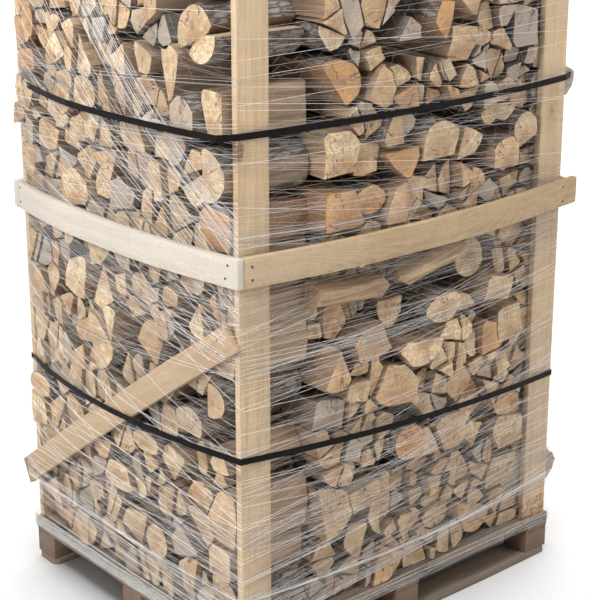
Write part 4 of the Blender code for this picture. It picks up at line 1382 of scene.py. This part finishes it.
# Hem of the net: its lower edge, gathered into a bundle round the deck's edge. Most of
# it is bunched on the short left side, and a few threads of it go all the way round.
HEM_THREADS = 76
HEM_ROUND = 16
HEM_THICK = 0.00065
HEM_IN = 0.0045
HEM_STEPS = 12
hem_yarn = make_yarn("gathered net hem", (0.50, 0.475, 0.45), (0.70, 0.68, 0.66))
hem_low, hem_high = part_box("net_hem")
hem_rng = random.Random(29)
hem_lines = []
for number in range(HEM_THREADS):
    height = hem_rng.uniform(hem_low.z + 0.002, hem_high.z - 0.002)
    out = hem_rng.uniform(0.0006, 0.0040)
    plan = [
        (hem_low.x + HEM_IN - out, hem_high.y - HEM_IN + out),
        (hem_low.x + HEM_IN - out, hem_low.y + HEM_IN - out),
        (hem_high.x - HEM_IN + out, hem_low.y + HEM_IN - out),
        (hem_high.x - HEM_IN + out, hem_high.y - HEM_IN + out),
    ]
    line = []
    for first, second in zip(plan, plan[1:] + plan[:1]):
        for step in range(HEM_STEPS):
            share = step / HEM_STEPS
            wander = hem_rng.gauss(0, 0.0025) if step else 0.0
            z = min(hem_high.z - 0.001, max(hem_low.z + 0.001, height + wander))
            line.append(Vector((
                first[0] + (second[0] - first[0]) * share,
                first[1] + (second[1] - first[1]) * share, z,
            )))
    line.append(line[0])
    hem_lines.append(line if number < HEM_ROUND else line[:HEM_STEPS + 1])
hem = draw_threads("net_hem_threads", hem_lines, HEM_THICK, hem_yarn)
finish_net(hem)
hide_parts("net_hem")

# Rails: boards nailed to the outside of the posts, four at mid height and four at
# the top. The load has pushed the middle ones out into a bow.
cream_rail = make_plank_wood(
    "cream rail board", sapwood=(0.550, 0.497, 0.426), latewood=(0.400, 0.341, 0.270),
    silver=(0.462, 0.426, 0.378), stain=0.55, knot_size=0.09, contrast=0.50,
)
tan_rail = make_plank_wood(
    "tan rail board", sapwood=(0.410, 0.295, 0.180), latewood=(0.270, 0.175, 0.095),
    silver=(0.480, 0.385, 0.275), stain=0.45, knot_size=0.08, contrast=0.70,
)
rail_rng = random.Random(31)
rails = {}
rail_heights = {}
for level in ("middle", "top"):
    for side, along, wood in (
        ("left", Y_AXIS, cream_rail), ("front", X_AXIS, tan_rail),
        ("right", Y_AXIS, tan_rail), ("back", X_AXIS, cream_rail),
    ):
        name = f"rail_{level}_{side}"
        rails[level, side] = dress_plank(name, along, Z_AXIS, wood, rail_rng)
        rail_heights[level] = (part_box(name)[0].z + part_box(name)[1].z) / 2

# Brace: one smooth tan board nailed on the slant across the short left side, from the
# front post under the middle rail to past the back post, where its end is sawn askew.
BRACE_SHORTER = 0.012
BRACE_END_LEAN = 0.12
brace_wood = make_plank_wood(
    "tan brace board", sapwood=(0.450, 0.325, 0.210), latewood=(0.270, 0.175, 0.105),
    silver=(0.370, 0.280, 0.195), stain=0.45, knot_size=0.10, contrast=0.75,
)
brace_corners = [vert.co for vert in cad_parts["brace"].data.vertices]
brace_peak = max(brace_corners, key=lambda corner: corner.z)
brace_rear = max(brace_corners, key=lambda corner: corner.y)
brace_run = (brace_rear - brace_peak).yz.normalized()
brace_run = Vector((0, *brace_run))
brace_rise = X_AXIS.cross(brace_run)
brace = dress_plank("brace", brace_run, brace_rise, brace_wood, random.Random(2))
brace_end = max(brace_corners, key=lambda corner: corner.dot(brace_run))
edit(brace)
bpy.ops.mesh.bisect(
    plane_co=brace_end - brace_run * BRACE_SHORTER,
    plane_no=(brace_run + brace_rise * BRACE_END_LEAN).normalized(),
    use_fill=True, clear_outer=True,
)
done()
brace_front = min(brace_corners, key=lambda corner: corner.y)
brace_foot = min(brace_corners, key=lambda corner: corner.z)
brace_top = (brace_peak + brace_front) / 2
brace_bottom = (brace_rear + brace_foot) / 2

# Nails: flat-headed steel nails, two at each end of every rail and of the brace, driven
# through into the posts. Their heads have gone dark.
NAIL_HEAD = 0.0036
NAIL_LENGTH = 0.004
NAIL_DEPTH = 0.0012
NAIL_APART = 0.020
NAIL_FROM_END = 0.012
# Nails in the brace: share of the way down it, and how far off its middle line.
BRACE_NAILS = ((0.035, 0.014), (0.05, -0.016), (0.962, 0.012), (0.95, -0.014))


def find_face(piece, start, inward):
    """The spot where a line from outside first meets a board."""
    tree = BVHTree.FromPolygons(
        [vert.co for vert in piece.data.vertices], [face.vertices for face in piece.data.polygons]
    )
    return tree.ray_cast(start, inward, 1.0)[0]


def drive_nail(piece, start, inward):
    spot = find_face(piece, start, inward)
    bpy.ops.object.select_all(action="DESELECT")
    bpy.ops.mesh.primitive_cylinder_add(
        vertices=12, radius=NAIL_HEAD, depth=NAIL_LENGTH,
        rotation=inward.to_track_quat("Z", "Y").to_euler(), location=spot + inward * NAIL_DEPTH,
    )
    bpy.ops.object.transform_apply(location=True, rotation=True, scale=True)
    head = bpy.context.object
    bevel_edges(head, 0.0006, 1)
    return head


nail_rng = random.Random(5)
nails = []
for (level, side), rail in rails.items():
    outward, right, half, _ = NET_SIDES[side]
    middle = rail_heights[level]
    for end in (-1, 1):
        for turn in (-1, 1):
            along = end * (half - NAIL_FROM_END - nail_rng.uniform(0, NAIL_FROM_END))
            up = middle + turn * NAIL_APART + nail_rng.uniform(-0.006, 0.006)
            start = outward * RAY_START + right * along + Z_AXIS * up
            nails.append(drive_nail(rail, start, -outward))
for share, shift in BRACE_NAILS:
    spot = brace_top.lerp(brace_bottom, share) + brace_rise * shift
    nails.append(drive_nail(brace, spot - X_AXIS * 0.3, X_AXIS))
only(*nails)
bpy.ops.object.join()
nail_heads = bpy.context.object
nail_heads.name = nail_heads.data.name = "nail_heads"
nail_steel, nail_tree, nail_shader = start_material("dark nail steel", 0.5)
nail_rust = noise_at(
    nail_tree, put(nail_tree, "TexCoord", {}, {}).outputs["Object"], 300.0, 3.0, 0.6
)
nail_shader.inputs["Metallic"].default_value = 0.7
finish_material(
    nail_tree, nail_shader,
    tint(nail_tree, span(nail_tree, nail_rust, 0.4, 0.6), (0.06, 0.055, 0.05), (0.09, 0.04, 0.02)),
    calc(nail_tree, "MULTIPLY_ADD", nail_rust, 0.3, 0.45), nail_rust, 0.0003,
)
nail_heads.data.materials.append(nail_steel)
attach(nail_heads, "root")

# Straps: two flat black bands of woven plastic, one above and one below the middle rail.
# They are pulled tight round posts and load, the upper one drawn in at the far left post.
STRAP_PULLED_IN = 0.040
STRAP_PULL_FROM = 0.10
strap_material, strap_tree, strap_shader = start_material("black strap", 0.05)
strap_place = put(strap_tree, "TexCoord", {}, {}).outputs["Object"]
strap_weave = put(
    strap_tree, "TexVoronoi", {"distance": "CHEBYCHEV"},
    {"Vector": strap_place, "Scale": 420.0, "Randomness": 0.1},
).outputs["Distance"]
strap_dust = noise_at(strap_tree, strap_place, 60.0, 3.0, 0.7)
strap_colour = tint(
    strap_tree, span(strap_tree, strap_dust, 0.45, 0.75, 0.0, 0.5),
    (0.007, 0.006, 0.006), (0.018, 0.016, 0.014),
)
finish_material(
    strap_tree, strap_shader, strap_colour,
    calc(strap_tree, "MULTIPLY_ADD", strap_dust, 0.3, 0.30), strap_weave, 0.0006,
)
for level in ("upper", "lower"):
    strap = copy_solid(f"strap_{level}", f"strap_{level}_band")
    if level == "upper":
        for vert in strap.data.vertices:
            if vert.co.x < -corner_x:
                share = (vert.co.y - STRAP_PULL_FROM) / (corner_y - STRAP_PULL_FROM)
                near = min(1.0, max(0.0, share))
                vert.co.x += min(STRAP_PULLED_IN, -corner_x - vert.co.x) * near
    bevel_edges(strap, 0.0004)
    strap.data.materials.append(strap_material)
    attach(strap, "root")
    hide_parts(f"strap_{level}")

# Floor and light: a plain pale floor that runs off into white, under an even sky and two
# large softboxes. The camera stands as high and as far off as the one of the photo.
FLOOR_SIZE = 120
SKY_STRENGTH = 0.32
bpy.ops.object.select_all(action="DESELECT")
bpy.ops.mesh.primitive_plane_add(size=FLOOR_SIZE, location=(0, 0, 0))
floor = bpy.context.object
floor.name = "studio_floor"
floor_material, _, floor_shader = start_material("pale floor", 0.2)
floor_shader.inputs["Base Color"].default_value = (0.94, 0.94, 0.94, 1)
floor_shader.inputs["Roughness"].default_value = 0.7
floor.data.materials.append(floor_material)

world = bpy.data.worlds.new("studio")
bpy.context.scene.world = world
world.use_nodes = True
sky = world.node_tree.nodes["Background"]
sky.inputs["Color"].default_value = (1.0, 0.99, 0.98, 1)
sky.inputs["Strength"].default_value = SKY_STRENGTH
bpy.context.scene.view_settings.view_transform = "Standard"


def add_softbox(name, place, aim, size, power, colour):
    bpy.ops.object.light_add(type="AREA", location=place)
    light = bpy.context.object
    light.name = name
    light.data.shape = "RECTANGLE"
    light.data.size = size
    light.data.size_y = size
    light.data.energy = power
    light.data.color = colour
    light.rotation_euler = (Vector(aim) - Vector(place)).to_track_quat("-Z", "Y").to_euler()
    light.light_linking.receiver_collection = unlit


# The softboxes leave the floor unlit, so that the shadow under the pallet stays deep.
unlit = bpy.data.collections.new("not lit by the softboxes")
unlit.objects.link(floor)
unlit.collection_objects[0].light_linking.link_state = "EXCLUDE"
add_softbox("key", (-6.0, -1.3, 4.8), (0, 0, 0.8), 3.0, 510, (0.985, 0.995, 1.0))
add_softbox("fill", (3.2, -5.1, 4.6), (0, 0, 0.8), 4.0, 178, (1.0, 0.975, 0.93))
bpy.ops.object.light_add(type="SUN", location=(0, 0, 6))
skylight = bpy.context.object
skylight.name = "skylight"
skylight.data.energy = 3.3
skylight.data.angle = math.radians(45)

CAMERA_PLACE = (-2.7466, -3.2024, 2.2599)
CAMERA_YAW = 0.7109
CAMERA_PITCH = 0.2854
FOCAL_PIXELS = 1517.3
FRAME_PIXELS = 600
AXIS_ROW = 234.7
look = Vector((
    math.sin(CAMERA_YAW) * math.cos(CAMERA_PITCH),
    math.cos(CAMERA_YAW) * math.cos(CAMERA_PITCH),
    -math.sin(CAMERA_PITCH),
))
camera_data = bpy.data.cameras.new("camera")
camera = bpy.data.objects.new("camera", camera_data)
bpy.context.scene.collection.objects.link(camera)
camera.location = CAMERA_PLACE
camera.rotation_euler = look.to_track_quat("-Z", "Y").to_euler()
camera_data.sensor_width = 36.0
camera_data.lens = FOCAL_PIXELS * camera_data.sensor_width / FRAME_PIXELS
camera_data.shift_y = (AXIS_ROW - FRAME_PIXELS / 2) / FRAME_PIXELS
bpy.context.scene.camera = camera
